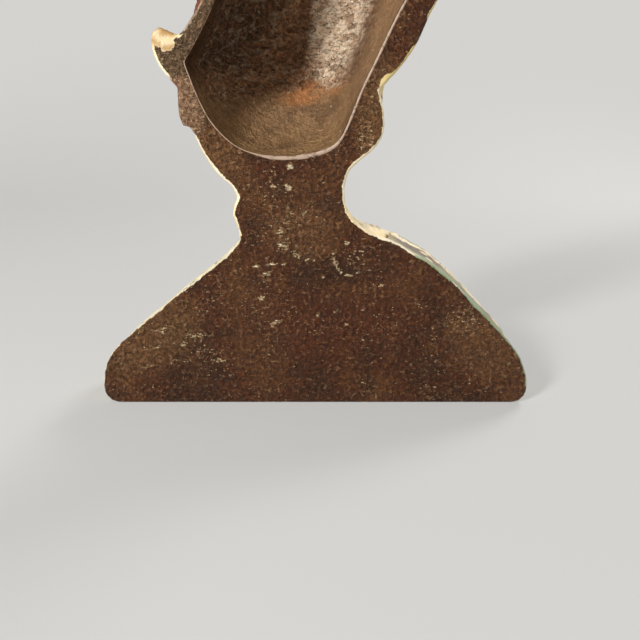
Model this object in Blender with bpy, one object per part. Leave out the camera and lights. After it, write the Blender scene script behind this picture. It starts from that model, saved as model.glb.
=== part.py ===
"""Cast iron doorstop: an upright goose on a grassy mound, flat at the back and hollow behind the body.

Standalone Blender 4.5 script. Frame: metres, +Z up, origin under the middle of the base. The flat
back with the hollow faces -Y, and the painted relief faces +Y. The real doorstop is one casting:
each object here is one region of it, seated a hairline from its neighbours. Sizes are in
millimetres. Outlines are drawn as (x, z), and depths are measured forward from the flat back.
"""

import math

import bmesh
import bpy

MM = 0.001

# Overall sizes
BASE_WIDTH = 119.0
MOUND_HEIGHT = 47.0
FIGURE_HEIGHT = 159.0
FIGURE_WIDTH = 75.0

# Depths from the flat back to the front of each region
PLATE_THICKNESS = 4.5
MOUND_DEPTH = 36.7
MOUND_STRAIGHT_DEPTH = 17.0
BODY_DEPTH = 34.5
BODY_SHOULDER_DEPTH = 12.0
NEAR_THIGH_DEPTH = 34.0
FAR_THIGH_DEPTH = 20.0
TAIL_DEPTH = 17.0
NECK_DEPTH = 23.0
HEAD_DEPTH = 26.0
BILL_DEPTH = 17.0
NEAR_SHANK_DEPTH = 15.5
FAR_SHANK_DEPTH = 12.5
NEAR_FOOT_DEPTH = 27.0
FAR_FOOT_DEPTH = 20.0

# How far the sides of these reliefs rise straight from the plate before they round over
NEAR_THIGH_SIDE = 8.0
FAR_THIGH_SIDE = 4.0
TAIL_SIDE = 6.0
HEAD_SIDE = 4.0
MOUND_CROWN = 0.35

# Walls, edges and small sizes
GAP = 0.3
WALL = 4.0
RIM_WIDTH = 1.3
RIM_HEIGHT = 0.4
EDGE_ROUNDING = 0.6
FOOT_CORNER = 4.0
SHANK_WIDTH = 6.8
FEATHER_ROOT = 0.9
FEATHER_TIP = 2.4
FEATHER_GROOVE = 0.3
EYE_RADIUS = 2.3
BILL_TIP_DEPTH = 3.0
BILL_HALF_STEP = 1.5
HEEL_PAST_SHANK = 1.0
FOOT_EDGE_THICKNESS = 0.8
GRASS_THICKNESS = 2.6
BLADE_WIDTH = 3.2

# Fineness of the surfaces: spacing along an outline, and rings or stations along each shape
OUTLINE_STEP = 2.6
DOME_RINGS = 8
ARCH_STEPS = 12
NECK_STATIONS = 16
BILL_STATIONS = 9
HOLLOW_RINGS = (0.94, 0.86, 0.74, 0.58, 0.4, 0.2, 0.0)
CREASE_ANGLE = 38.0

# The mound's flanks, as shares of the way out from the figure's foot and of the height there
LEFT_FLANK = [
    (0.0, 1.0), (0.05, 0.94), (0.22, 0.82), (0.4, 0.7), (0.57, 0.58), (0.745, 0.46), (0.905, 0.335),
    (0.965, 0.26), (0.99, 0.17),
]
RIGHT_FLANK = [
    (0.0, 1.0), (0.1, 0.946), (0.22, 0.894), (0.385, 0.783), (0.53, 0.664), (0.68, 0.537), (0.825, 0.409),
    (0.895, 0.342), (0.96, 0.245), (0.988, 0.174),
]

# How far the mound swells past its outline further forward, by direction from the middle of its
# foot in degrees
MOUND_SWELL = [(0, 0.0), (8, 0.0), (24, 0.8), (60, 0.8), (80, 0.0), (360, 0.0)]

# The figure, z from the top of the mound. Its outline on the flat back runs clockwise, as
# stretches that meet in corners.
CREST = [(22.4, -2.0), (14.0, -0.8), (4.0, 2.2), (-6.0, 4.2), (-13.6, 3.4), (-19.6, -0.4)]
HEEL_AND_RUMP = [
    (-19.6, -0.4), (-20.4, 2.8), (-21.6, 6.1), (-21.1, 8.6), (-20.2, 10.8), (-21.5, 13.3),
    (-25.0, 16.4), (-28.8, 22.2), (-31.5, 28.1),
]
WING_TIP = [(-31.5, 28.1), (-33.4, 28.6), (-34.4, 31.4), (-34.4, 36.0), (-34.5, 38.0)]
TAIL_EDGE = [
    (-34.5, 38.0), (-36.2, 39.8), (-38.8, 43.2), (-40.2, 47.4), (-40.0, 50.5), (-38.2, 51.9),
    (-35.8, 50.9), (-33.3, 50.0),
]
BACK_EDGE = [
    (-33.3, 50.0), (-30.3, 53.6), (-27.6, 57.9), (-23.4, 71.0), (-18.8, 87.0), (-13.2, 103.0),
    (-8.0, 117.0), (-6.2, 130.0), (-5.8, 141.0), (-2.6, 151.4), (4.6, 157.8), (12.0, 159.0),
    (19.4, 155.0), (23.4, 147.2),
]
BILL_TOP = [(23.4, 147.2), (29.0, 144.2), (36.0, 141.2), (42.0, 139.6), (46.2, 138.2)]
BILL_END = [(46.2, 138.2), (47.6, 136.0), (45.0, 133.9)]
BILL_BOTTOM = [(45.0, 133.9), (39.0, 132.7), (31.0, 132.2), (24.4, 131.6), (19.4, 128.4)]
BREAST_EDGE = [
    (19.4, 128.4), (15.8, 121.4), (16.4, 111.6), (21.4, 101.4), (29.4, 91.6), (34.4, 81.0),
    (34.8, 71.4), (31.6, 61.6), (28.0, 54.6), (24.4, 46.9), (21.0, 42.4), (16.2, 37.2),
]
THIGH_EDGE = [
    (16.2, 37.2), (17.3, 32.5), (17.6, 28.2), (16.2, 24.2), (12.8, 20.9), (9.0, 17.6),
    (7.6, 13.2), (7.8, 9.6),
]
FOOT_EDGE = [(7.8, 9.6), (8.5, 7.2), (10.2, 4.4), (13.6, 1.6), (18.4, -0.4), (22.4, -2.0)]

# The mouth of the hollow, from its one sharp corner round to it again
HOLLOW_MOUTH = [
    (-32.3, 43.8), (-29.2, 35.4), (-26.0, 29.3), (-20.1, 23.6), (-14.6, 21.6), (-6.4, 21.0),
    (0.8, 22.1), (5.3, 24.2), (8.6, 30.2), (11.2, 36.8), (15.1, 44.8), (19.2, 53.4),
    (24.2, 62.8), (27.8, 72.6), (26.8, 82.0), (20.4, 90.0), (10.6, 94.4), (-1.0, 93.4),
    (-10.6, 87.0), (-17.2, 76.6), (-21.4, 64.0), (-25.1, 55.6), (-29.2, 48.4), (-32.3, 43.8),
]
BODY_CENTRE = (-2.0, 58.0)

# The body's outline in front of the plate, and how far it swells past that further forward, by
# direction from its centre in degrees
BODY_OUTLINE = [
    (-35.6, 44.4), (-32.4, 50.2), (-27.3, 58.4), (-23.0, 71.2), (-18.4, 86.0), (-12.6, 95.6),
    (-2.0, 100.8), (10.0, 102.2), (20.4, 99.6), (28.6, 92.4), (34.0, 81.0), (34.4, 71.4),
    (31.4, 61.8), (27.6, 54.6), (23.4, 46.9), (16.4, 38.4), (15.4, 28.8), (12.0, 22.0),
    (3.0, 17.8), (-7.0, 16.8), (-17.0, 17.8), (-25.2, 21.6), (-31.0, 29.2), (-34.0, 36.8),
    (-35.6, 44.4),
]
BODY_SWELL = [
    (0, 0.0), (60, 0.0), (95, 1.5), (125, 3.2), (178, 3.2), (194, 0.6), (206, 0.0), (360, 0.0),
]

# Reliefs in front of the plate
NEAR_THIGH = [
    (18.4, 42.4), (17.2, 34.6), (17.2, 27.6), (14.2, 22.4), (8.6, 18.2), (2.4, 16.2), (-1.8, 19.4),
    (-4.8, 25.4), (-6.6, 33.4), (-5.0, 42.0), (1.6, 48.2), (10.0, 49.6), (16.2, 47.0), (18.4, 42.4),
]
NEAR_THIGH_CENTRE = (6.6, 33.0)
FAR_THIGH = [
    (-30.2, 25.6), (-28.4, 21.8), (-24.9, 16.6), (-20.6, 14.2), (-15.4, 14.4), (-11.8, 18.6),
    (-12.6, 24.6), (-17.6, 28.2), (-24.4, 28.0), (-30.2, 25.6),
]
FAR_THIGH_CENTRE = (-21.0, 21.6)
TAIL = [
    (-34.3, 38.4), (-36.1, 40.0), (-38.6, 43.4), (-40.0, 47.4), (-39.8, 50.4), (-38.2, 51.7),
    (-35.8, 50.7), (-33.2, 49.6), (-31.4, 45.0), (-31.8, 40.0), (-34.3, 38.4),
]
TAIL_CENTRE = (-35.4, 45.6)
HEAD_OUTLINE = [
    (-5.4, 131.6), (-5.2, 141.0), (-2.0, 151.0), (4.8, 157.2), (12.0, 158.4), (18.9, 154.6),
    (23.0, 147.6), (24.6, 141.0), (24.0, 134.6), (20.6, 130.2), (14.0, 127.2), (5.0, 126.4),
    (-2.0, 127.8), (-5.4, 131.6),
]
HEAD_CENTRE = (9.5, 142.5)
EYE_AT = (13.6, 148.4)
MOUTH_LINE = [(17.4, 134.6), (24.0, 135.6), (34.0, 136.6), (41.0, 136.8), (46.9, 136.1)]
NECK_BOTTOM = 84.0
NECK_TOP = 134.0

# How the covered end of the neck draws in behind the throat: sideways per height, at its edges and
# in depth
THROAT_SLANT = 1.2
NECK_END_INSET = 1.5
NECK_END_DROP = 4.5
NEAR_SHANK = [(5.4, 27.0), (3.9, 12.0), (3.6, 9.6)]
FAR_SHANK = [(-18.6, 24.0), (-16.7, 12.0), (-16.6, 9.6)]
ANKLE_HEIGHT = 9.6

# A foot's height from heel to toe, as shares of its length and of the ankle's height
FOOT_PROFILE = [(0.0, 1.0), (0.36, 1.0), (0.46, 0.6), (0.61, 0.31), (0.82, 0.18), (0.95, 0.15), (1.0, 0.08)]
NEAR_FOOT_REACH = (-1.0, 22.0)
FAR_FOOT_REACH = (-20.6, -3.0)
TOES = 3
WEB_NOTCH = 0.13
WEB_HEIGHT = 0.62
FOOT_SPLAY = 0.3

# The tufts on the mound: name, root as shares of half the base and of the mound's height, lean,
# and each blade's direction and length
GRASS_TUFTS = [
    ("grass_left", (-0.45, 0.16), -10.0, [(-34, 14), (-12, 20), (10, 24), (32, 17)]),
    ("grass_middle", (0.02, 0.14), 0.0, [(-40, 13), (-14, 20), (12, 22), (38, 14)]),
    ("grass_right", (0.44, 0.16), 8.0, [(-32, 16), (-10, 23), (12, 20), (34, 14)]),
]
CLUMP_SAG = 0.6
BLADE_SAMPLES = (0.25, 0.5, 0.75)

# The wing's two edges, from the shoulder to the tip
WING_BACK = [
    (20.5, 79.0), (11.0, 85.0), (0.0, 85.4), (-10.6, 79.4), (-19.6, 68.0), (-26.4, 54.4),
    (-30.4, 43.4), (-33.4, 35.4),
]
WING_BELLY = [
    (21.5, 73.0), (18.4, 65.0), (12.4, 57.0), (4.0, 49.4), (-6.0, 42.0), (-15.4, 35.4),
    (-22.8, 31.4), (-29.6, 28.8),
]

# The rows of feathers from the shoulder to the tip: name, where its feathers end as a share of the
# wing's length, how far the line slants, depth of the scallops, shift of the feathers, steps
FEATHERS = 6
WING_ROWS = [
    ("wing_shoulder", 0.24, 0.02, 0.045, 0.0, 4),
    ("upper_coverts", 0.41, 0.03, 0.045, 0.5, 3),
    ("lower_coverts", 0.59, 0.05, 0.05, 0.0, 3),
    ("flight_feathers", 1.0, 0.14, 0.05, 0.5, 8),
]


def mix(a, b, share):
    """The value or point at a share of the way from a to b."""
    if isinstance(a, (int, float)):
        return a + (b - a) * share
    return tuple(p + (q - p) * share for p, q in zip(a, b))


def ease(share):
    """0 to 1 with level ends."""
    share = max(0.0, min(1.0, share))
    return share * share * (3.0 - 2.0 * share)


def read(table, value, smooth=False):
    """The second column of a table at a value of its first column."""
    for (a, low), (b, high) in zip(table, table[1:]):
        if value <= b:
            share = max(0.0, (value - a) / (b - a))
            return mix(low, high, ease(share) if smooth else share)
    return table[-1][1]


def spline(points, step=OUTLINE_STEP):
    """Points along a smooth curve through the given ones, without the last: centripetal Catmull-Rom."""
    before = mix(points[1], points[0], 2.0)
    after = mix(points[-2], points[-1], 2.0)
    guide = [before, *points, after]
    curve = []
    for p0, p1, p2, p3 in zip(guide, guide[1:], guide[2:], guide[3:]):
        t1 = math.dist(p0, p1) ** 0.5
        t2 = t1 + math.dist(p1, p2) ** 0.5
        t3 = t2 + math.dist(p2, p3) ** 0.5
        count = max(1, round(math.dist(p1, p2) / step))
        for i in range(count):
            t = mix(t1, t2, i / count)
            a = mix(p0, p1, t / t1)
            b = mix(p1, p2, (t - t1) / (t2 - t1))
            c = mix(p2, p3, (t - t2) / (t3 - t2))
            ab = mix(a, b, t / t2)
            bc = mix(b, c, (t - t1) / (t3 - t1))
            curve.append(mix(ab, bc, (t - t1) / (t2 - t1)))
    return curve


def along(line, share):
    """The point at a share of a line's length."""
    lengths = [math.dist(a, b) for a, b in zip(line, line[1:])]
    left = share * sum(lengths)
    for a, b, length in zip(line, line[1:], lengths):
        if left <= length:
            return mix(a, b, left / length)
        left -= length
    return line[-1]


def grown(loop, distance):
    """A closed outline moved outward, square to its edges."""
    area = sum(a[0] * b[1] - b[0] * a[1] for a, b in zip(loop, loop[1:] + loop[:1]))
    side = math.copysign(1.0, area)
    moved = []
    for before, here, after in zip(loop[-1:] + loop[:-1], loop, loop[1:] + loop[:1]):
        first = math.dist(before, here)
        second = math.dist(here, after)
        nx = side * ((here[1] - before[1]) / first + (after[1] - here[1]) / second)
        nz = -side * ((here[0] - before[0]) / first + (after[0] - here[0]) / second)
        reach = distance * min(1.25, 2.0 / math.hypot(nx, nz)) / math.hypot(nx, nz)
        moved.append((here[0] + reach * nx, here[1] + reach * nz))
    return moved


def share_out(point, loop, centre):
    """How far a point lies from the centre, as a share of the way to a closed outline."""
    dx, dz = point[0] - centre[0], point[1] - centre[1]
    for a, b in zip(loop, loop[1:] + loop[:1]):
        ax, az = a[0] - centre[0], a[1] - centre[1]
        bx, bz = b[0] - centre[0], b[1] - centre[1]
        det = ax * bz - az * bx
        if abs(det) < 1e-9:
            continue
        s = (dx * bz - dz * bx) / det
        t = (ax * dz - az * dx) / det
        if s >= -1e-9 and t >= -1e-9:
            return s + t
    return 0.0


def spread(inner, outer, centre):
    """The points of one closed outline moved straight out from the centre onto another."""
    return [mix(centre, point, 1.0 / share_out(point, outer, centre)) for point in inner]


def crossings(loop, level, axis):
    """Where a closed outline crosses x = level (axis 0) or z = level (axis 1), in order."""
    found = []
    for a, b in zip(loop, loop[1:] + loop[:1]):
        if (a[axis] <= level) != (b[axis] <= level):
            found.append(mix(a[1 - axis], b[1 - axis], (level - a[axis]) / (b[axis] - a[axis])))
    return sorted(found)


# The drawing is stretched to the overall sizes: the figure as a whole, and each flank of the mound
# between the foot of the base and the figure.
DRAWN_FIGURE = HEEL_AND_RUMP + TAIL_EDGE + BACK_EDGE + BREAST_EDGE
WIDTH_SCALE = FIGURE_WIDTH / (max(x for x, z in BREAST_EDGE) - min(x for x, z in TAIL_EDGE))
HEIGHT_SCALE = FIGURE_HEIGHT / max(z for x, z in DRAWN_FIGURE)


def figure(drawn):
    """A drawn point, or a list of them, at its real place above the mound."""
    if isinstance(drawn, list):
        return [figure(point) for point in drawn]
    return (drawn[0] * WIDTH_SCALE, MOUND_HEIGHT + drawn[1] * HEIGHT_SCALE)


def flank(shares, joint):
    """One flank of the mound, from where the figure meets it down to the rounded foot."""
    side = math.copysign(1.0, joint[0])
    reach = BASE_WIDTH / 2 - abs(joint[0])
    points = [(joint[0] + side * out * reach, up * joint[1]) for out, up in shares]
    line = spline(points + [(side * BASE_WIDTH / 2, FOOT_CORNER)])
    for degrees in (0, 30, 60, 90):
        turn = math.radians(degrees)
        x = BASE_WIDTH / 2 - FOOT_CORNER * (1.0 - math.cos(turn))
        line.append((side * x, FOOT_CORNER * (1.0 - math.sin(turn))))
    return line


LEFT_SIDE = flank(LEFT_FLANK, figure(HEEL_AND_RUMP[0]))[::-1]
RIGHT_SIDE = flank(RIGHT_FLANK, figure(FOOT_EDGE[-1]))
FIGURE_EDGE = []
for stretch in (
    HEEL_AND_RUMP, WING_TIP, TAIL_EDGE, BACK_EDGE, BILL_TOP, BILL_END, BILL_BOTTOM, BREAST_EDGE,
    THIGH_EDGE, FOOT_EDGE,
):
    FIGURE_EDGE += spline(figure(stretch))
PLATE_OUTLINE = LEFT_SIDE[:-1] + FIGURE_EDGE + RIGHT_SIDE
MOUND_OUTLINE = RIGHT_SIDE[::-1][:-1] + spline(figure(CREST)) + LEFT_SIDE[::-1]
MOUTH = spline(figure(HOLLOW_MOUTH))
FRONT_OF_PLATE = PLATE_THICKNESS + GAP
HOLLOW_DEPTH = BODY_DEPTH - WALL
FULL_DEPTH = MOUND_DEPTH + GAP + GRASS_THICKNESS
BACK_Y = -(FULL_DEPTH - RIM_HEIGHT) / 2


class Dome:
    """A rounded relief over a closed outline: sides that may swell, then a dome with a flat crown."""

    def __init__(self, outline, centre, start, shoulder, top, crown=0.0, swell=None):
        self.outline = outline
        self.centre = centre
        self.start = start
        self.shoulder = shoulder
        self.top = top
        self.crown = crown
        self.swell = swell
        self.widest = self.swollen(outline, 1.0)

    def swollen(self, loop, share):
        """The loop moved out from the centre by a share of the swell in each direction."""
        if not self.swell:
            return loop
        moved = []
        for x, z in loop:
            dx = x - self.centre[0]
            dz = z - self.centre[1]
            angle = math.degrees(math.atan2(dz, dx)) % 360.0
            reach = 1.0 + share * read(self.swell, angle, smooth=True) / math.hypot(dx, dz)
            moved.append((self.centre[0] + dx * reach, self.centre[1] + dz * reach))
        return moved

    def sections(self, grow=0.0):
        """The closed sections from back to front, as lists of (x, depth, z), and the tip."""
        outline = grown(self.outline, grow) if grow else self.outline
        start = self.start - 2.0 * grow
        sections = [[(x, start, z) for x, z in outline]]
        for share in (0.35, 0.7) if self.swell else ():
            depth = mix(start, self.shoulder, share)
            loop = self.swollen(outline, math.sin(share * math.pi / 2))
            sections.append([(x, depth, z) for x, z in loop])
        widest = self.swollen(outline, 1.0)
        if self.shoulder > start:
            sections.append([(x, self.shoulder, z) for x, z in widest])
        top = self.top + grow
        for ring in range(1, DOME_RINGS + (1 if self.crown else 0)):
            turn = ring / DOME_RINGS * math.pi / 2
            size = mix(self.crown, 1.0, math.cos(turn))
            depth = mix(self.shoulder, top, math.sin(turn))
            sections.append([self.scaled(point, size, depth) for point in widest])
        tip = None if self.crown else (self.centre[0], top, self.centre[1])
        return sections, tip

    def scaled(self, point, size, depth):
        x = mix(self.centre[0], point[0], size)
        z = mix(self.centre[1], point[1], size)
        return (x, depth, z)

    def share(self, x, z):
        return share_out((x, z), self.widest, self.centre)

    def front(self, x, z):
        """The depth of the front surface at a point."""
        size = max(0.0, self.share(x, z) - self.crown) / (1.0 - self.crown)
        return mix(self.shoulder, self.top, math.sqrt(max(0.0, 1.0 - size * size)))

    def upper(self, x, depth):
        """The height of the upper surface at a place and depth, on a dome centred on the ground."""
        rise = max(0.0, (depth - self.shoulder) / (self.top - self.shoulder))
        size = mix(self.crown, 1.0, math.sqrt(max(0.0, 1.0 - rise * rise)))
        return size * crossings(self.widest, x / size, 0)[-1]


def clear_scene():
    for thing in list(bpy.data.objects):
        bpy.data.objects.remove(thing, do_unlink=True)


def paint(thing, colour, roughness=0.45, metallic=0.0):
    """Gives an object its own material."""
    material = bpy.data.materials.new(thing.name)
    material.use_nodes = True
    shader = material.node_tree.nodes["Principled BSDF"]
    shader.inputs["Base Color"].default_value = (*colour, 1.0)
    shader.inputs["Roughness"].default_value = roughness
    shader.inputs["Metallic"].default_value = metallic
    thing.data.materials.append(material)
    material.diffuse_color = (*colour, 1.0)


def place(name, bm):
    """Makes an object of a finished mesh, under the doorstop's frame."""
    bmesh.ops.recalc_face_normals(bm, faces=bm.faces)
    mesh = bpy.data.meshes.new(name)
    bm.to_mesh(mesh)
    bm.free()
    mesh.shade_smooth()
    mesh.set_sharp_from_angle(angle=math.radians(CREASE_ANGLE))
    thing = bpy.data.objects.new(name, mesh)
    bpy.context.collection.objects.link(thing)
    thing.parent = FRAME
    return thing


def add_rings(bm, sections, tip=None):
    """Joins closed sections of equal count into a skin, closed at both ends."""
    loops = [[bm.verts.new([c * MM for c in point]) for point in section] for section in sections]
    for low, high in zip(loops, loops[1:]):
        for i in range(len(low)):
            j = (i + 1) % len(low)
            bm.faces.new((low[i], low[j], high[j], high[i]))
    bm.faces.new(loops[0])
    if tip is None:
        bm.faces.new(loops[-1])
    else:
        top = bm.verts.new([c * MM for c in tip])
        for i, vert in enumerate(loops[-1]):
            bm.faces.new((vert, loops[-1][(i + 1) % len(loops[-1])], top))


def ring_solid(name, sections, tip=None):
    bm = bmesh.new()
    add_rings(bm, sections, tip)
    return place(name, bm)


def sheet_solid(name, front, back):
    """A solid between two grids of points with the same rows and columns."""
    bm = bmesh.new()
    faces = [[[bm.verts.new([c * MM for c in p]) for p in row] for row in grid] for grid in (front, back)]
    rows = len(front)
    columns = len(front[0])
    for grid in faces:
        for r in range(rows - 1):
            for c in range(columns - 1):
                bm.faces.new((grid[r][c], grid[r][c + 1], grid[r + 1][c + 1], grid[r + 1][c]))
    rim = [(0, c) for c in range(columns)]
    rim += [(r, columns - 1) for r in range(1, rows)]
    rim += [(rows - 1, c) for c in range(columns - 2, -1, -1)]
    rim += [(r, 0) for r in range(rows - 2, 0, -1)]
    for (r, c), (s, d) in zip(rim, rim[1:] + rim[:1]):
        bm.faces.new((faces[0][r][c], faces[0][s][d], faces[1][s][d], faces[1][r][c]))
    return place(name, bm)


def arch_sections(stations, upright):
    """Half-round sections standing on the plate: stations of (position, low, high, depth).

    An upright piece has its positions along z and its sections across x; a level one the reverse.
    """
    sections = []
    for position, low, high, depth in stations:
        section = []
        for i in range(ARCH_STEPS + 1):
            turn = math.pi * i / ARCH_STEPS
            across = mix(low, high, (1.0 - math.cos(turn)) / 2)
            out = mix(FRONT_OF_PLATE, depth, math.sin(turn))
            section.append((across, out, position) if upright else (position, out, across))
        sections.append(section)
    return sections


def cutter(name, sections, tip=None):
    """A hidden solid that makes room for a neighbour."""
    thing = ring_solid(name, sections, tip)
    thing.hide_render = True
    thing.display_type = "WIRE"
    return thing


def seat(thing, *neighbours):
    """Cuts a region back to a hairline from the neighbours that it meets."""
    for neighbour in neighbours:
        cut = thing.modifiers.new(neighbour.name, "BOOLEAN")
        cut.operation = "DIFFERENCE"
        cut.solver = "EXACT"
        cut.object = neighbour


def hollow_loop(depth):
    """The wall of the hollow at a depth from the flat back."""
    size = math.sqrt(1.0 - (depth / HOLLOW_DEPTH) ** 2)
    centre = figure(BODY_CENTRE)
    return [(mix(centre[0], x, size), depth, mix(centre[1], z, size)) for x, z in MOUTH]


def make_back_plate():
    """The flat back, with the figure's whole outline and a raised bead round the hollow."""
    bm = bmesh.new()
    rims = []
    edge = [
        (PLATE_THICKNESS, 0.0), (EDGE_ROUNDING, 0.0), (0.3 * EDGE_ROUNDING, -0.3 * EDGE_ROUNDING),
        (0.0, -EDGE_ROUNDING),
    ]
    bead = [(0.0, RIM_WIDTH), (-0.7 * RIM_HEIGHT, 0.85 * RIM_WIDTH), (-RIM_HEIGHT, 0.5 * RIM_WIDTH)]
    outside = [[(x, depth, z) for x, z in grown(PLATE_OUTLINE, move)] for depth, move in edge]
    inside = [[(x, depth, z) for x, z in grown(MOUTH, move)] for depth, move in bead]
    inside.append([(x, -0.6 * RIM_HEIGHT, z) for x, z in MOUTH])
    inside.append(hollow_loop(PLATE_THICKNESS))
    for loops in (outside, inside):
        rings = [[bm.verts.new([c * MM for c in point]) for point in loop] for loop in loops]
        for low, high in zip(rings, rings[1:]):
            for i in range(len(low)):
                j = (i + 1) % len(low)
                bm.faces.new((low[i], low[j], high[j], high[i]))
        rims.append((rings[0], rings[-1]))
    (outer_front, outer_back), (inner_back, inner_front) = rims
    for outer, inner in ((outer_front, inner_front), (outer_back, inner_back)):
        border = [bm.edges.get((a, b)) or bm.edges.new((a, b))
                  for loop in (outer, inner) for a, b in zip(loop, loop[1:] + loop[:1])]
        bmesh.ops.triangle_fill(bm, use_beauty=True, use_dissolve=False, edges=border)
    plate = place("back_plate", bm)
    paint(plate, (0.085, 0.058, 0.043), roughness=0.75, metallic=0.3)


def make_body_shell():
    """The hollow body: the relief outside, and inside it the drafted hollow one wall away."""
    sections, tip = BODY.sections()
    bm = bmesh.new()
    loops = [hollow_loop(mix(FRONT_OF_PLATE, HOLLOW_DEPTH, share)) for share in HOLLOW_RINGS] + sections
    rings = [[bm.verts.new([c * MM for c in point]) for point in loop] for loop in loops]
    for low, high in zip(rings, rings[1:]):
        for i in range(len(low)):
            j = (i + 1) % len(low)
            bm.faces.new((low[i], low[j], high[j], high[i]))
    centre = figure(BODY_CENTRE)
    for end, point in ((rings[0], (centre[0], HOLLOW_DEPTH, centre[1])), (rings[-1], tip)):
        top = bm.verts.new([c * MM for c in point])
        for i, vert in enumerate(end):
            bm.faces.new((vert, end[(i + 1) % len(end)], top))
    shell = place("body_shell", bm)
    paint(shell, (0.72, 0.66, 0.5))


def make_mound():
    mound = ring_solid("ground_mound", *MOUND.sections())
    paint(mound, (0.22, 0.33, 0.17))


def make_thighs():
    for name, dome, cuts in (
        ("near_thigh", NEAR_THIGH_DOME, [BODY_ROOM]),
        ("far_thigh", FAR_THIGH_DOME, [BODY_ROOM]),
    ):
        thigh = ring_solid(name, *dome.sections())
        seat(thigh, *cuts)
        paint(thigh, (0.75, 0.7, 0.56))


def make_shanks():
    """The two legs below the thighs, standing on the ankles of the feet."""
    for name, line, depth, cuts in (
        ("near_shank", NEAR_SHANK, NEAR_SHANK_DEPTH, [NEAR_THIGH_ROOM, BODY_ROOM]),
        ("far_shank", FAR_SHANK, FAR_SHANK_DEPTH, [FAR_THIGH_ROOM, BODY_ROOM]),
    ):
        stations = []
        for x, z in spline(figure(line)) + [figure(line[-1])]:
            stations.append((z, x - SHANK_WIDTH / 2, x + SHANK_WIDTH / 2, depth))
        last = stations[-1]
        stations[-1] = (last[0] + GAP, *last[1:])
        shank = ring_solid(name, arch_sections(stations, upright=True))
        seat(shank, *cuts)
        paint(shank, (0.76, 0.68, 0.5))


def make_feet():
    """Webbed feet on the mound: flat at the ankle, then falling to three toes with webs between."""
    for name, reach, heel_depth, toe_depth in (
        ("near_foot", NEAR_FOOT_REACH, NEAR_SHANK_DEPTH + HEEL_PAST_SHANK, NEAR_FOOT_DEPTH),
        ("far_foot", FAR_FOOT_REACH, FAR_SHANK_DEPTH + HEEL_PAST_SHANK, FAR_FOOT_DEPTH),
    ):
        heel_x, toe_x = (x * WIDTH_SCALE for x in reach)
        ankle = figure((0.0, ANKLE_HEIGHT))[1]
        top, bottom = [], []
        for share, rise in FOOT_PROFILE:
            top_row, bottom_row = [], []
            for column in range(4 * TOES + 1):
                across = column / (4 * TOES)
                toe = math.sin(math.pi * TOES * across) ** 2
                length = 1.0 - WEB_NOTCH * (1.0 - toe)
                splay = FOOT_SPLAY * across * (toe_x - heel_x)
                x = mix(heel_x, toe_x - splay, share * length)
                depth = mix(FRONT_OF_PLATE, mix(heel_depth, toe_depth, share * length), across)
                ground = MOUND.upper(x, depth) + GAP
                height = (ankle - MOUND.upper(x, FRONT_OF_PLATE) - GAP) * rise
                web = mix(WEB_HEIGHT, 1.0, toe) if share > FOOT_PROFILE[1][0] else 1.0
                level = min(ankle, ground + max(FOOT_EDGE_THICKNESS, height * web))
                top_row.append((x, depth, ankle if share <= FOOT_PROFILE[1][0] else level))
                bottom_row.append((x, depth, ground - FOOT_CORNER))
            top.append(top_row)
            bottom.append(bottom_row)
        foot = sheet_solid(name, top, bottom)
        seat(foot, MOUND_ROOM)
        paint(foot, (0.8, 0.74, 0.6))


def make_tail():
    tail = ring_solid("tail", *TAIL_DOME.sections())
    seat(tail, BODY_ROOM)
    paint(tail, (0.85, 0.76, 0.55))


def neck_sections(grow=0.0):
    """Half-round sections as wide as the plate's outline there, narrowing under the bill."""
    stations = []
    throat_x, throat_z = figure(BILL_BOTTOM[-1])
    top_z = figure((0.0, NECK_TOP))[1]
    for i in range(NECK_STATIONS + 1):
        z = figure((0.0, mix(NECK_BOTTOM, NECK_TOP, i / NECK_STATIONS)))[1]
        left, right = crossings(FIGURE_EDGE, z, 1)[:2]
        inset = GAP - grow
        depth = NECK_DEPTH + grow
        if z > throat_z:
            covered = (z - throat_z) / (top_z - throat_z)
            right = throat_x - THROAT_SLANT * (z - throat_z)
            inset += NECK_END_INSET * covered
            depth -= NECK_END_DROP * covered
        stations.append((z, left + inset, right - inset, depth))
    return arch_sections(stations, upright=True)


def make_neck():
    neck = ring_solid("neck", neck_sections())
    seat(neck, BODY_ROOM, HEAD_ROOM)
    paint(neck, (0.72, 0.66, 0.5))


def make_head():
    head = ring_solid("head", *HEAD.sections())
    paint(head, (0.74, 0.68, 0.53))


def make_bill():
    """The two halves of the bill, parted along the mouth line."""
    top_edge = spline(figure(BILL_TOP)) + [figure(BILL_TOP[-1])]
    bottom_edge = (spline(figure(BILL_BOTTOM)) + [figure(BILL_BOTTOM[-1])])[::-1]
    mouth = spline(figure(MOUTH_LINE)) + [figure(MOUTH_LINE[-1])]
    first = figure(MOUTH_LINE[0])[0]
    for name, edge, side, cuts in (
        ("upper_bill", top_edge, 1.0, [HEAD_ROOM]),
        ("lower_bill", bottom_edge, -1.0, [HEAD_ROOM, NECK_ROOM]),
    ):
        last = max(p[0] for p in edge) - GAP
        stations = []
        for i in range(BILL_STATIONS + 1):
            x = mix(first, last, i / BILL_STATIONS)
            line = read(mouth, x) + side * GAP / 2
            outer = read(edge, max(x, edge[0][0])) - side * GAP
            depth = mix(BILL_DEPTH, FRONT_OF_PLATE + BILL_TIP_DEPTH, (i / BILL_STATIONS) ** 1.6)
            if side < 0:
                depth -= BILL_HALF_STEP
            stations.append((x, min(line, outer), max(line, outer), depth))
        bill = ring_solid(name, arch_sections(stations, upright=False))
        seat(bill, *cuts)
        paint(bill, (0.72, 0.42, 0.12))


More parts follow.
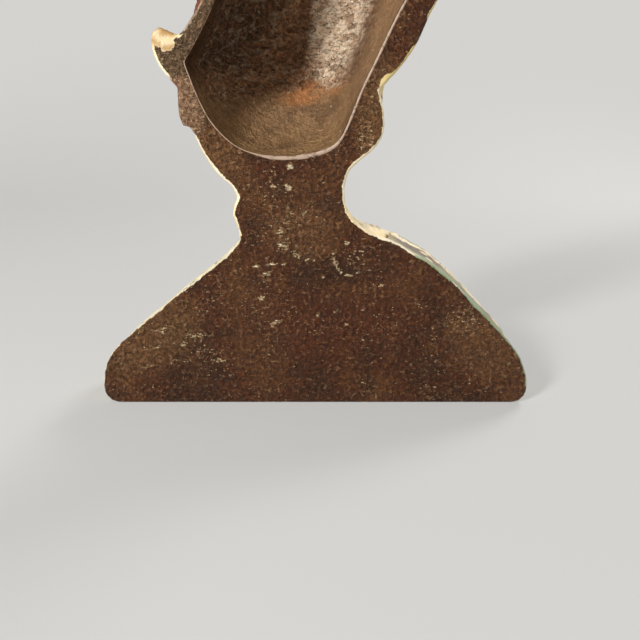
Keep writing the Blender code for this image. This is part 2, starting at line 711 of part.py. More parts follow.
def make_eye():
    """A round bead on the side of the head."""
    x, z = figure(EYE_AT)
    bm = bmesh.new()
    bmesh.ops.create_uvsphere(bm, u_segments=20, v_segments=10, radius=EYE_RADIUS * MM)
    bmesh.ops.translate(bm, verts=bm.verts, vec=[c * MM for c in (x, HEAD.front(x, z) + 0.2 * EYE_RADIUS, z)])
    eye = place("eye", bm)
    seat(eye, HEAD_ROOM)
    paint(eye, (0.03, 0.025, 0.02), roughness=0.2)


def wing_edge(row, across):
    """Where a row of feathers ends, as a share of the wing's length: scallops on a slanting line."""
    name, end, slant, lobe, shift, steps = row
    side = 2.0 * ((across * FEATHERS + shift) % 1.0) - 1.0
    return end - slant * across - lobe * side * side


def make_wing():
    """Four rows of feathers, each rising to its scalloped tips over the roots of the next."""
    back = spline(figure(WING_BACK)) + [figure(WING_BACK[-1])]
    belly = spline(figure(WING_BELLY)) + [figure(WING_BELLY[-1])]
    hairline = GAP / sum(math.dist(a, b) for a, b in zip(belly, belly[1:]))
    for before, row in zip([None] + WING_ROWS, WING_ROWS):
        name, end, slant, lobe, shift, steps = row
        front, rear = [], []
        for step in range(steps + 1):
            share = step / steps
            rise = mix(FEATHER_ROOT, FEATHER_TIP, ease(1.2 * share))
            front_row, rear_row = [], []
            for column in range(4 * FEATHERS + 1):
                across = column / (4 * FEATHERS)
                first = wing_edge(before, across) + 1.5 * hairline if before else 0.0
                along_wing = mix(first, wing_edge(row, across), share)
                x, z = mix(along(back, along_wing), along(belly, along_wing), across)
                side = 2.0 * ((across * FEATHERS + shift) % 1.0) - 1.0
                ground = BODY.front(x, z) + GAP
                beside = BODY.share(x, z) > 1.0
                front_row.append((x, ground + rise * (1.0 - FEATHER_GROOVE * side * side), z))
                rear_row.append((x, FRONT_OF_PLATE if beside else ground - FEATHER_ROOT, z))
            front.append(front_row)
            rear.append(rear_row)
        feathers = sheet_solid(name, front, rear)
        seat(feathers, BODY_ROOM)
        paint(feathers, (0.33, 0.1, 0.06))


def make_grass():
    """Three tufts lying on the front of the mound, each a fan of pointed blades from one clump."""
    for name, root, lean, blades in GRASS_TUFTS:
        root_x = root[0] * BASE_WIDTH / 2
        root_z = root[1] * MOUND_HEIGHT
        half = len(blades) * BLADE_WIDTH / 2
        bm = bmesh.new()
        crown = [blade_edge(bm, mix(root_x - half, root_x + half, i / len(blades)), root_z, 0.5)
                 for i in range(len(blades) + 1)]
        clump = []
        for degrees in (30, 60, 90, 120, 150):
            turn = math.radians(degrees)
            clump.append(blade_edge(
                bm, root_x + half * math.cos(turn), root_z - CLUMP_SAG * half * math.sin(turn), 0.4))
        ridges = []
        for i, (turn, length) in enumerate(blades):
            ridges.append(add_blade(bm, crown[i], crown[i + 1], math.radians(turn + lean), length))
        front = [crown[0][0]]
        for ridge, edge in zip(ridges, crown[1:]):
            front += [ridge, edge[0]]
        bm.faces.new(front + [front_vert for front_vert, rear_vert in clump])
        bm.faces.new([rear_vert for front_vert, rear_vert in crown + clump])
        border = [crown[-1], *clump, crown[0]]
        for a, b in zip(border, border[1:]):
            bm.faces.new((a[0], b[0], b[1], a[1]))
        tuft = place(name, bm)
        seat(tuft, MOUND_ROOM)
        paint(tuft, (0.3, 0.42, 0.16))


def on_mound(bm, x, z, lift):
    """A vertex lifted off the front of the mound, past the hairline."""
    return bm.verts.new([c * MM for c in (x, MOUND.front(x, z) + GAP + lift, z)])


def blade_edge(bm, x, z, share):
    """A front and a rear vertex at the edge of a blade."""
    return on_mound(bm, x, z, share * GRASS_THICKNESS), on_mound(bm, x, z, -GRASS_THICKNESS)


def add_blade(bm, left, right, turn, length):
    """One blade from two corners of the clump up to its point. Gives the foot of its ridge."""
    x0 = (left[0].co.x + right[0].co.x) / 2 / MM
    z0 = (left[0].co.z + right[0].co.z) / 2 / MM
    foot = ridge = on_mound(bm, x0, z0, GRASS_THICKNESS)
    for share in BLADE_SAMPLES:
        bend = turn * (0.6 + 0.6 * share)
        x = x0 + share * length * math.sin(bend)
        z = z0 + share * length * math.cos(bend)
        half = (1.0 - share) ** 0.7 * BLADE_WIDTH / 2
        dx, dz = half * math.cos(bend), -half * math.sin(bend)
        next_left = blade_edge(bm, x - dx, z - dz, 0.5)
        next_right = blade_edge(bm, x + dx, z + dz, 0.5)
        next_ridge = on_mound(bm, x, z, (1.0 - 0.5 * share) * GRASS_THICKNESS)
        bm.faces.new((left[0], next_left[0], next_ridge, ridge))
        bm.faces.new((ridge, next_ridge, next_right[0], right[0]))
        bm.faces.new((left[1], left[0], next_left[0], next_left[1]))
        bm.faces.new((right[0], right[1], next_right[1], next_right[0]))
        bm.faces.new((left[1], next_left[1], next_right[1], right[1]))
        left, right, ridge = next_left, next_right, next_ridge
    bend = turn * 1.2
    tip = blade_edge(bm, x0 + length * math.sin(bend), z0 + length * math.cos(bend), 0.45)
    bm.faces.new((left[0], tip[0], ridge))
    bm.faces.new((ridge, tip[0], right[0]))
    bm.faces.new((left[1], left[0], tip[0], tip[1]))
    bm.faces.new((right[0], right[1], tip[1], tip[0]))
    bm.faces.new((left[1], tip[1], right[1]))
    return foot


clear_scene()
FRAME = bpy.data.objects.new("doorstop", None)
FRAME.location = (0.0, BACK_Y * MM, 0.0)
bpy.context.collection.objects.link(FRAME)
bpy.context.view_layer.update()

BODY = Dome(
    spread(MOUTH, spline(figure(BODY_OUTLINE)), figure(BODY_CENTRE)), figure(BODY_CENTRE),
    FRONT_OF_PLATE, BODY_SHOULDER_DEPTH, BODY_DEPTH, swell=BODY_SWELL,
)
MOUND = Dome(
    MOUND_OUTLINE, (0.0, 0.0), FRONT_OF_PLATE, MOUND_STRAIGHT_DEPTH, MOUND_DEPTH, crown=MOUND_CROWN,
    swell=MOUND_SWELL,
)
NEAR_THIGH_DOME = Dome(
    spline(figure(NEAR_THIGH)), figure(NEAR_THIGH_CENTRE), FRONT_OF_PLATE, FRONT_OF_PLATE + NEAR_THIGH_SIDE,
    NEAR_THIGH_DEPTH,
)
FAR_THIGH_DOME = Dome(
    spline(figure(FAR_THIGH)), figure(FAR_THIGH_CENTRE), FRONT_OF_PLATE, FRONT_OF_PLATE + FAR_THIGH_SIDE,
    FAR_THIGH_DEPTH,
)
TAIL_DOME = Dome(
    spline(figure(TAIL)), figure(TAIL_CENTRE), FRONT_OF_PLATE, FRONT_OF_PLATE + TAIL_SIDE, TAIL_DEPTH,
)
HEAD = Dome(
    spline(figure(HEAD_OUTLINE)), figure(HEAD_CENTRE), FRONT_OF_PLATE, FRONT_OF_PLATE + HEAD_SIDE,
    HEAD_DEPTH,
)

MOUND_ROOM = cutter("mound_room", *MOUND.sections(grow=GAP))
BODY_ROOM = cutter("body_room", *BODY.sections(grow=GAP))
HEAD_ROOM = cutter("head_room", *HEAD.sections(grow=GAP))
NECK_ROOM = cutter("neck_room", neck_sections(grow=GAP))
NEAR_THIGH_ROOM = cutter("near_thigh_room", *NEAR_THIGH_DOME.sections(grow=GAP))
FAR_THIGH_ROOM = cutter("far_thigh_room", *FAR_THIGH_DOME.sections(grow=GAP))

make_back_plate()
make_body_shell()
make_mound()
make_thighs()
make_shanks()
make_feet()
make_tail()
make_neck()
make_head()
make_bill()
make_eye()
make_wing()
make_grass()
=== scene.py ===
"""Looks of the cast iron doorstop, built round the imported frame.

The iron is one continuous skin with the cast texture, the bead round the hollow and the old paint.
Feathers, feet, bill, eye and grass are pieces of their own on it. Lengths are in millimetres unless
a comment says otherwise, and a depth is measured forward from the flat back.
"""

import math
from types import SimpleNamespace

import bmesh
import bpy
import numpy as np
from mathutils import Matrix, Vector, noise
from mathutils.kdtree import KDTree


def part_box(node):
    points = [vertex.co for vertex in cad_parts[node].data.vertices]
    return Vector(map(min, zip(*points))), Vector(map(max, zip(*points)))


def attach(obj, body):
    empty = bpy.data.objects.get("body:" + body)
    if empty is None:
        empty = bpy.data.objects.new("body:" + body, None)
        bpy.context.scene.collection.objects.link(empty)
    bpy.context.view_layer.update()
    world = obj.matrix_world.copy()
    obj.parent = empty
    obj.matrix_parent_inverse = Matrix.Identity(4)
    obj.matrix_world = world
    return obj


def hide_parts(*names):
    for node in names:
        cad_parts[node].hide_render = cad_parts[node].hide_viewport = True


MM = 0.001

# The camera, from the photograph: lens and sensor, place in metres and tilt below level
LENS = 40.5
SENSOR = 36.0
CAMERA_AT = (0.00127, -0.2080, 0.0802)
CAMERA_TILT = 16.5

# The skin: its voxels, how far the solids swell so that their hairline gaps close, the share of that
# which is taken back, the rounds that even out the whole skin and then its front, and a round's two
# steps toward the neighbours and back
SKIN_VOXEL = 0.6
SKIN_SWELL = 0.3
SWELL_TAKEN_BACK = 0.9
SMOOTH_ROUNDS = 4
FRONT_ROUNDS = 30
SMOOTH_STEPS = (0.5, -0.52)

# How near two vertices are to be welded, and how near a level an edge still counts as on it
WELD_GAP = 0.002
LEVEL_GAP = 0.03

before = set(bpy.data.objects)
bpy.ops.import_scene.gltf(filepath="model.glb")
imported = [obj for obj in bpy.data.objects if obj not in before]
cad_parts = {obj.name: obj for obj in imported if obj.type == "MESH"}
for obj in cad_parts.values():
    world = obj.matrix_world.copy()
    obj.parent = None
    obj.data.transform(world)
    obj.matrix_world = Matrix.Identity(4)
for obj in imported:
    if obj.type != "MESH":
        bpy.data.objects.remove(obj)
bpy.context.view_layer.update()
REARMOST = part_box("back_plate")[0][1] / MM
RIM_HEIGHT = 0.4
BACK = REARMOST + RIM_HEIGHT


def welded(node):
    """A bmesh of a CAD node with its split vertices joined."""
    bm = bmesh.new()
    bm.from_mesh(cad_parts[node].data)
    bmesh.ops.remove_doubles(bm, verts=bm.verts, dist=WELD_GAP * MM)
    bmesh.ops.recalc_face_normals(bm, faces=bm.faces)
    return bm


def add_object(name, data):
    thing = bpy.data.objects.new(name, data)
    bpy.context.collection.objects.link(thing)
    return thing


def fused(name, nodes, swell, voxel):
    """One closed skin round several CAD nodes, their hairline gaps closed."""
    joined = bmesh.new()
    for node in nodes:
        bm = welded(node)
        bm.normal_update()
        for vert in bm.verts:
            vert.co += vert.normal * swell * MM
        part = bpy.data.meshes.new(node)
        bm.to_mesh(part)
        bm.free()
        joined.from_mesh(part)
        bpy.data.meshes.remove(part)
    mesh = bpy.data.meshes.new(name)
    joined.to_mesh(mesh)
    joined.free()
    thing = add_object(name, mesh)
    remesh = thing.modifiers.new("skin", "REMESH")
    remesh.mode = "VOXEL"
    remesh.voxel_size = voxel * MM
    graph = bpy.context.evaluated_depsgraph_get()
    skin = bpy.data.meshes.new_from_object(thing.evaluated_get(graph))
    thing.modifiers.clear()
    thing.data = skin
    keep_largest(skin)
    return thing


def keep_largest(mesh):
    """Drops every island but the one with most vertices, such as the inside of a closed void."""
    bm = bmesh.new()
    bm.from_mesh(mesh)
    left = set(bm.verts)
    islands = []
    while left:
        stack = [left.pop()]
        island = []
        while stack:
            vert = stack.pop()
            island.append(vert)
            for edge in vert.link_edges:
                other = edge.other_vert(vert)
                if other in left:
                    left.remove(other)
                    stack.append(other)
        islands.append(island)
    islands.sort(key=len)
    for island in islands[:-1]:
        bmesh.ops.delete(bm, geom=island, context="VERTS")
    bm.to_mesh(mesh)
    bm.free()


def read_points(mesh):
    points = np.empty(len(mesh.vertices) * 3)
    mesh.vertices.foreach_get("co", points)
    return points.reshape(-1, 3) / MM


def read_normals(mesh):
    normals = np.empty(len(mesh.vertices) * 3)
    mesh.vertex_normals.foreach_get("vector", normals)
    return normals.reshape(-1, 3)


def write_points(mesh, points):
    mesh.vertices.foreach_set("co", (points * MM).ravel())
    mesh.update()


def read_edges(mesh):
    edges = np.empty(len(mesh.edges) * 2, dtype=int)
    mesh.edges.foreach_get("vertices", edges)
    return edges.reshape(-1, 2)


def neighbour_means(points, edges):
    """The middle of each point's neighbours along the edges."""
    count = np.bincount(edges.ravel(), minlength=len(points))[:, None]
    total = np.empty_like(points)
    for axis in range(3):
        total[:, axis] = np.bincount(edges[:, 0], points[edges[:, 1], axis], len(points))
        total[:, axis] += np.bincount(edges[:, 1], points[edges[:, 0], axis], len(points))
    return total / count


def smoothed(points, edges, rounds, weight=1.0):
    """Points evened out without shrinking: each round goes toward the neighbours and back a little."""
    for factor in SMOOTH_STEPS * rounds:
        points = points + factor * weight * (neighbour_means(points, edges) - points)
    return points


def rough(points, size, octaves=2, seed=0.0, stretch=(1.0, 1.0, 1.0)):
    """Fractal noise of about -1 to 1 with lumps of a size in millimetres."""
    scale = np.array(stretch) / size
    values = [noise.fractal(Vector(p * scale + seed), 1.0, 2.0, octaves) for p in points]
    return np.array(values)


def ramp(values, low, high):
    share = np.clip((values - low) / (high - low), 0.0, 1.0)
    return share * share * (3.0 - 2.0 * share)


def ring_segments(node, depth):
    """The edges of a CAD node that lie at one depth from the flat back, as (x, z) pairs."""
    bm = welded(node)
    pairs = []
    for edge in bm.edges:
        if all(abs(v.co.y / MM - BACK - depth) < LEVEL_GAP for v in edge.verts):
            pairs.append([(v.co.x / MM, v.co.z / MM) for v in edge.verts])
    bm.free()
    return np.array(pairs)


def distance_to(points, segments):
    """How far each (x, z) point lies from the nearest of some segments."""
    best = np.full(len(points), 1e9)
    for a, b in segments:
        along = b - a
        share = np.clip(((points - a) @ along) / max(along @ along, 1e-9), 0.0, 1.0)
        gap = points - a - share[:, None] * along
        best = np.minimum(best, (gap * gap).sum(1))
    return np.sqrt(best)


def inside(points, segments):
    """Which (x, z) points lie inside a closed ring of segments."""
    crossed = np.zeros(len(points), dtype=bool)
    for (ax, az), (bx, bz) in segments:
        if az == bz:
            continue
        level = (az > points[:, 1]) != (bz > points[:, 1])
        crossed ^= level & (points[:, 0] < ax + (points[:, 1] - az) / (bz - az) * (bx - ax))
    return crossed


def give(mesh, name, values):
    """Stores one number, or one colour, for each vertex."""
    if values.ndim == 1:
        layer = mesh.attributes.new(name, "FLOAT", "POINT")
        layer.data.foreach_set("value", values.astype(np.float32))
    else:
        layer = mesh.attributes.new(name, "FLOAT_COLOR", "POINT")
        rgba = np.column_stack([values, np.ones(len(values))])
        layer.data.foreach_set("color", rgba.astype(np.float32).ravel())


def linear(red, green, blue):
    """A colour written as on screen, 0 to 255, as the shader needs it."""
    channels = []
    for value in (red, green, blue):
        value /= 255.0
        channels.append(value / 12.92 if value <= 0.04045 else ((value + 0.055) / 1.055) ** 2.4)
    return np.array(channels)


# Old paint: where its chips begin and where they are full, and the tints of its grime and painted shade
# # where it lies sunk and of its yellowed patches
CHIP_START, CHIP_FULL = 0.715, 0.735
GRIME_AND_SHADE_TINT = (0.56, 0.46, 0.34)
YELLOW_TINT = (0.96, 0.88, 0.72)


class Shade:
    """Builds one node material round its Principled BSDF."""

    def __init__(self, name):
        self.material = bpy.data.materials.new(name)
        self.material.use_nodes = True
        self.tree = self.material.node_tree
        self.shader = self.tree.nodes["Principled BSDF"]
        self.place = self.tree.nodes.new("ShaderNodeTexCoord").outputs["Object"]

    def put(self, socket, value):
        if isinstance(value, bpy.types.NodeSocket):
            self.tree.links.new(value, socket)
        elif isinstance(value, (int, float)):
            socket.default_value = value
        else:
            value = tuple(float(v) for v in value)
            socket.default_value = (*value, 1.0) if len(socket.default_value) == 4 else value

    def set(self, name, value):
        self.put(self.shader.inputs[name], value)

    def noise(self, size, detail=2.0, roughness=0.5, stretch=None, shift=0.0):
        """Noise of 0 to 1 with lumps of a size in millimetres."""
        node = self.tree.nodes.new("ShaderNodeTexNoise")
        node.inputs["Scale"].default_value = 1.0 / (size * MM)
        node.inputs["Detail"].default_value = detail
        node.inputs["Roughness"].default_value = roughness
        self.put(node.inputs["Vector"], self.moved(stretch or (1.0, 1.0, 1.0), shift * MM * size))
        return node.outputs["Fac"]

    def cells(self, size):
        """How far each place lies from the nearest of many scattered points."""
        node = self.tree.nodes.new("ShaderNodeTexVoronoi")
        node.inputs["Scale"].default_value = 1.0 / (size * MM)
        self.put(node.inputs["Vector"], self.place)
        return node.outputs["Distance"]

    def moved(self, scale, shift):
        """The object's coordinates, stretched and set off so that no two noises agree."""
        if scale == (1.0, 1.0, 1.0) and not shift:
            return self.place
        node = self.tree.nodes.new("ShaderNodeMapping")
        self.put(node.inputs["Vector"], self.place)
        node.inputs["Scale"].default_value = scale
        node.inputs["Location"].default_value = (shift, shift * 1.7, shift * 2.3)
        return node.outputs["Vector"]

    def math(self, operation, a, b=0.0, c=0.0):
        node = self.tree.nodes.new("ShaderNodeMath")
        node.operation = operation
        for socket, value in zip(node.inputs, (a, b, c)):
            self.put(socket, value)
        return node.outputs[0]

    def times(self, first, *others):
        for other in others:
            first = self.math("MULTIPLY", first, other)
        return first

    def weighted(self, *pairs):
        """The sum of some values, each with its weight."""
        (value, weight), *others = pairs
        total = self.math("MULTIPLY", value, weight)
        for value, weight in others:
            total = self.math("MULTIPLY_ADD", value, weight, total)
        return total

    def eased(self, full, value, loss):
        """A full amount, less a loss as far as a value goes from 0 to 1."""
        return self.math("MULTIPLY_ADD", value, -loss, full)

    def ramp(self, value, low, high, out_low=0.0, out_high=1.0):
        node = self.tree.nodes.new("ShaderNodeMapRange")
        node.interpolation_type = "SMOOTHSTEP"
        for name, v in (("Value", value), ("From Min", low), ("From Max", high),
                        ("To Min", out_low), ("To Max", out_high)):
            self.put(node.inputs[name], v)
        return node.outputs["Result"]

    def mix(self, factor, a, b, blend="MIX"):
        node = self.tree.nodes.new("ShaderNodeMix")
        node.data_type = "RGBA"
        node.blend_type = blend
        self.put(node.inputs[0], factor)
        self.put(node.inputs[6], a)
        self.put(node.inputs[7], b)
        return node.outputs[2]

    def tinted(self, colour, tint):
        """A colour with each channel times that of a tint."""
        return self.mix(1.0, colour, tint, "MULTIPLY")

    def read(self, name, output="Fac"):
        node = self.tree.nodes.new("ShaderNodeAttribute")
        node.attribute_name = name
        return node.outputs[output]

    def chips(self, middle, fine):
        """Where paint has flaked off: in clusters, and first from what stands proud."""
        clusters = self.noise(7.0, 2.0, 0.5, shift=13.0)
        value = self.weighted((clusters, 0.55), (middle, 0.35), (fine, 0.2), (self.read("proud"), 0.14))
        return self.ramp(value, CHIP_START, CHIP_FULL)

    def aged(self, coat, mixed):
        """Old paint: darker where it lies sunk, as grime and painted shade, and yellowed in patches."""
        patches = self.ramp(self.noise(12.0, 2.0, 0.5, shift=21.0), 0.4, 0.65)
        clean = self.mix(patches, coat, self.tinted(coat, YELLOW_TINT))
        raised = self.weighted((mixed, 0.6), (self.read("proud"), 0.55))
        return self.mix(self.ramp(raised, 0.34, 0.58), self.tinted(coat, GRIME_AND_SHADE_TINT), clean)

    def bump(self, height, distance, normal=None):
        """Relief from a height of 0 to 1: its full height in millimetres, or a socket in metres."""
        node = self.tree.nodes.new("ShaderNodeBump")
        if isinstance(distance, (int, float)):
            distance *= MM
        self.put(node.inputs["Distance"], distance)
        self.put(node.inputs["Height"], height)
        if normal is not None:
            self.put(node.inputs["Normal"], normal)
        return node.outputs["Normal"]


# Colours, as seen on screen
CREAM = linear(240, 222, 182)
CREAM_EDGE = linear(252, 240, 208)
TAIL_TAN = linear(188, 150, 98)
WORN_PINK = linear(172, 136, 110)
CREAM_YELLOW = linear(222, 204, 146)
RED_BROWN = linear(122, 66, 48)
MINT = linear(146, 166, 132)
DIRTY = linear(112, 88, 62)
SAGE = linear(122, 142, 98)
OCHRE = linear(188, 124, 52)
BLACK = linear(24, 20, 18)
GRASS = linear(88, 112, 56)
IRON = linear(92, 47, 15)
IRON_DARK = linear(50, 27, 10)
IRON_PALE = linear(142, 106, 68)
IRON_RED = linear(98, 47, 16)
IRON_GOLD = linear(120, 80, 38)
IRON_GREY = linear(120, 104, 82)
FLOOR_TAN = linear(150, 120, 88)
FLOOR_SAND = linear(168, 138, 96)
WALL_BROWN = linear(104, 76, 54)
WALL_TAN = linear(154, 122, 90)
CRUST = linear(156, 117, 86)
# Painted highlights on the crust's fold crests and over its right part
RIDGE_HIGHLIGHT = linear(190, 150, 116)
HIGHLIGHT_TONE = linear(250, 230, 206)
RUST = linear(192, 130, 78)
FLECK = linear(214, 188, 142)
GLINT = linear(252, 240, 208)
RUBBED = linear(168, 134, 98)
BEAD = linear(184, 158, 136)
ARRIS_HIGHLIGHT = linear(226, 204, 184)


def blend(colours, share, colour):
    """Moves each vertex colour toward another by its share."""
    return colours + share[:, None] * (np.asarray(colour) - colours)


def spot(points, x, z, width, height, lean=0.0):
    """A soft patch on the back, 1 in the middle and 0 outside."""
    turn = math.radians(lean)
    dx, dz = points[:, 0] - x, points[:, 2] - z
    u = (dx * math.cos(turn) + dz * math.sin(turn)) / width
    v = (dz * math.cos(turn) - dx * math.sin(turn)) / height
    return ramp(u * u + v * v, 1.0, 0.1)


def chained(segments):
    """The points of a ring of segments, in order."""
    ends = {}
    for a, b in segments:
        for here, there in ((a, b), (b, a)):
            ends.setdefault(tuple(np.round(here, 3)), []).append(tuple(np.round(there, 3)))
    first = min(ends)
    ring = [first]
    before, here = None, first
    while True:
        there = next(end for end in ends[here] if end != before)
        if there == first:
            return np.array(ring)
        ring.append(there)
        before, here = here, there


OUTLINE = ring_segments("back_plate", 0.6)
MOUTH = ring_segments("back_plate", -RIM_HEIGHT)
MOUND_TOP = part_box("near_foot")[0][2] / MM + 4.0
TAIL_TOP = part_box("tail")[1][2] / MM
BILL_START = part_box("head")[1][0] / MM + 0.3
BILL_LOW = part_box("lower_bill")[0][2] / MM

# Pale scars and painted glints on the flat back: x, z, half width and height, lean in degrees, strength
MARKS = [
    (-6.4, 65.4, 1.5, 0.8, 0.0, 4.0), (-7.0, 60.2, 1.5, 0.9, -20.0, 3.6), (-10.9, 60.5, 1.2, 0.6, 0.0, 2.6),
    (8.4, 45.6, 0.9, 1.1, 0.0, 3.0), (4.8, 42.6, 0.5, 1.0, 0.0, 2.6), (5.0, 41.2, 0.5, 1.0, 10.0, 3.0),
    (5.4, 39.8, 0.5, 1.0, 20.0, 3.3), (6.1, 38.6, 0.5, 1.0, 30.0, 3.4), (7.0, 37.6, 0.6, 0.8, 45.0, 3.4),
    (10.4, 41.6, 4.2, 3.8, 0.0, 0.8), (-5.0, 49.0, 11.0, 9.0, 0.0, 0.45),
    (8.3, 36.9, 1.1, 0.5, -10.0, 3.2), (9.6, 36.9, 0.9, 0.4, 5.0, 2.8), (10.8, 37.5, 0.7, 0.4, 20.0, 2.2),
    (-16.0, 39.5, 1.7, 0.45, -4.0, 3.6), (-11.6, 39.8, 1.8, 0.5, 4.0, 4.2), (-8.6, 40.0, 1.0, 0.45, 0.0, 3.0),
    (-13.2, 37.2, 1.7, 0.8, 0.0, 2.4), (-20.1, 38.2, 0.6, 0.6, 0.0, 3.6), (-8.5, 44.8, 2.4, 1.2, -40.0, 2.2),
    (-4.8, 42.4, 1.6, 0.9, -30.0, 2.2), (-1.4, 41.2, 2.6, 0.6, -6.0, 2.0), (-9.4, 48.6, 1.4, 1.4, 0.0, 1.6),
    (-3.0, 53.6, 1.2, 0.7, 20.0, 1.8), (-14.7, 30.6, 1.4, 0.9, 30.0, 2.8), (-17.2, 26.4, 1.0, 0.5, 0.0, 2.2),
    (-11.0, 23.6, 2.4, 0.9, 30.0, 2.6), (0.7, 25.8, 1.8, 0.5, 45.0, 2.4), (5.4, 26.6, 1.6, 0.5, 40.0, 2.2),
    (8.6, 23.0, 0.7, 0.7, 0.0, 3.0), (18.0, 34.2, 1.6, 0.8, 0.0, 1.8), (2.1, 36.1, 0.5, 0.5, 0.0, 3.6),
    (12.6, 72.0, 3.4, 5.0, 0.0, 1.1), (-42.0, 21.4, 3.5, 0.8, 8.0, 1.5), (-33.0, 20.0, 4.5, 0.9, 2.0, 1.5),
    (-45.0, 16.4, 4.0, 0.8, 6.0, 1.6), (-37.0, 17.4, 3.0, 0.7, 0.0, 1.4), (-30.5, 15.6, 3.0, 0.7, 10.0, 1.3),
    (-38.0, 12.4, 5.0, 0.8, 2.0, 1.5), (-27.0, 12.8, 4.0, 0.7, -2.0, 1.4), (-47.0, 11.0, 3.5, 0.8, 0.0, 1.5),
    (-30.0, 28.0, 7.0, 2.0, 35.0, 1.0), (40.0, 24.0, 8.0, 6.0, -40.0, 0.8),
]

# The body's feathers: how far apart the rows and columns lie and how high they stand, then in shares
# how round a tip is, how its height falls off, its shaft, and the groove round it
FEATHER_PITCH = 5.0
FEATHER_WIDTH = 5.6
FEATHER_RELIEF = 0.85
TIP_ROUND = 0.95
FEATHER_FALL = 0.5
SHAFT_HIGH, SHAFT_WIDE = 0.22, 0.14
GROOVE_WIDE = 0.16


def scales(u, v):
    """Overlapping rounded feathers that point down: their height, and the groove round each tip."""
    row = np.floor(v / FEATHER_PITCH)
    height = np.zeros(len(u))
    groove = np.zeros(len(u))
    taken = np.zeros(len(u), dtype=bool)
    for upper in (1.0, 0.0):
        number = row + upper
        column = u / FEATHER_WIDTH + 0.5 * (number % 2.0)
        side = 2.0 * (column - np.floor(column)) - 1.0
        tip = number - TIP_ROUND * np.sqrt(np.maximum(0.0, 1.0 - side * side))
        above = v / FEATHER_PITCH - tip
        mine = ~taken & (above >= 0.0)
        shape = 1.0 - FEATHER_FALL * np.clip(above, 0.0, 2.0)
        shape = shape + SHAFT_HIGH * np.exp(-((side / SHAFT_WIDE) ** 2))
        height = np.where(mine, shape, height)
        if upper:
            groove = np.where(above < 0.0, np.exp(-((above / GROOVE_WIDE) ** 2)), 0.0)
        taken |= mine
    return height, groove


CASTING_NODES = [
    "back_plate", "body_shell", "ground_mound", "near_thigh", "far_thigh", "near_shank",
    "far_shank", "tail", "neck", "head",
]

# Noise over the skin: the size of its lumps in mm, octaves and seed
SKIN_NOISE = {
    "lumps": (6.0, 2, 3.1),
    "grain": (2.0, 2, 11.7),
    "patches": (24.0, 3, 57.0),
    "edge_noise": (8.0, 3, 71.0),
}

# The crust in the hollow starts at a height that rises to the right by a slope, and the right wall
# leans out
CRUST_FOOT = 85.0
CRUST_SLOPE = 0.11
WALL_LEAN = 0.33

# How far the lumps, the grain, the crust and its folds, the turf and the mound's flatter slope raise
# or lower the surface
LUMP_HIGH, GRAIN_HIGH = 0.10, 0.11
CRUST_HIGH, FOLD_DEEP = 0.35, 1.3
TURF_HIGH, TURF_SUNK = 0.30, 0.1
SLOPE_FLATTER = 0.7

# The rows of feathers lean, and wrap round the sides over a range of depths where the skin turns
ROW_LEAN, ROW_RISE = 0.25, 0.35
SIDE_TURN, SIDE_WRAP = 1.3, 0.8
SIDE_NEAR, SIDE_FAR = 4.0, 26.0
FEATHER_LEVEL = 0.6

# Depths from the back where the mound's cream edge and its dirt end, on the right and the left
CREAM_RIGHT = (17.6, 16.4)
CREAM_LEFT = (24.6, 23.4)
DIRT_END = (12.8, 11.2)

# How far paint wraps onto the back along the body and the mound's two sides, and the levels of cover
# that are painted or bare all through
WRAP_BODY, WRAP_LEFT, WRAP_RIGHT = 0.6, 0.15, 0.4
COVERED, BARE, RIM_BARE = 3.0, -3.0, -2.0

# The paint on the tail: how far below its top the fringe hangs, its slope and its ragged edges
FRINGE_DROP, FRINGE_SLOPE, FRINGE_RAGGED = 3.6, 0.62, 0.9
TAIL_END, TAIL_LEAN, END_RAGGED = -33.5, 0.25, 1.0

# Shares of the tones that are laid on last; the crest and highlight tones of the crust are painted highlights
GREY_SHARE, RIDGE_SHARE, HIGHLIGHT_SHARE, RUST_SHARE, PINK_SHARE = 0.65, 0.7, 0.85, 0.75, 0.75

# Bands that limit a mask, each with its field, where it starts and where it is full
LEFT_ARM = [("x", -25.0, -29.0), ("z", 74.0, 79.0)]
LEFT_FLANGE = [("to_mouth", 6.0, 4.0), ("x", -16.0, -20.0), ("z", 90.0, 96.0)]
# The left arris of the flange, where a painted highlight lies
LEFT_RIM = [
    ("to_edge", 0.7, 0.45), ("x", -19.0, -22.0), ("x", -33.6, -32.8), ("z", 96.5, 98.5),
    ("z", 125.0, 118.0),
]
LEFT_FLECKS = [("x", -26.0, -29.0), ("z", 70.0, 74.0), ("z", 100.0, 92.0)]
WING_BUMP = [("x", -27.0, -30.0), ("z", 72.5, 74.5), ("z", 88.5, 86.0)]
YELLOW_EDGE = [("depth", 5.0, 2.0), ("x", 15.0, 17.0), ("z", 80.0, 88.0)]
FLATTENED = [("x", -20.0, -30.0), ("z", 8.0, 14.0), ("depth", 0.8, 3.0), ("depth", 26.0, 20.0)]

# Tones of the iron, laid one over the other: share, colour and bands
IRON_TONES = [
    (0.18, IRON_PALE, [("patches", 0.0, 0.5)]),
    (0.45, IRON_DARK, [("patches", 0.0, -0.5)]),
    (0.40, IRON_GOLD, [("lumps", 0.1, 0.6)]),
    (0.40, IRON_DARK, [("lumps", -0.1, -0.6)]),
]

# Soft patches on the flat back: share, colour, x, z, half width and height, lean in degrees
FACE_TONES = [
    (0.50, IRON_PALE, -46.0, 20.0, 20.0, 13.0, 35.0),
    (0.30, IRON_PALE, 46.0, 18.0, 15.0, 12.0, -40.0),
    (0.45, IRON_PALE, -27.0, 74.0, 9.0, 20.0, 30.0),
    (0.60, IRON_PALE, 17.0, 78.0, 9.0, 18.0, 0.0),
    (0.50, IRON_RED, 6.0, 24.0, 30.0, 13.0, 0.0),
    (0.25, IRON_PALE, -4.0, 48.0, 12.0, 10.0, 0.0),
]
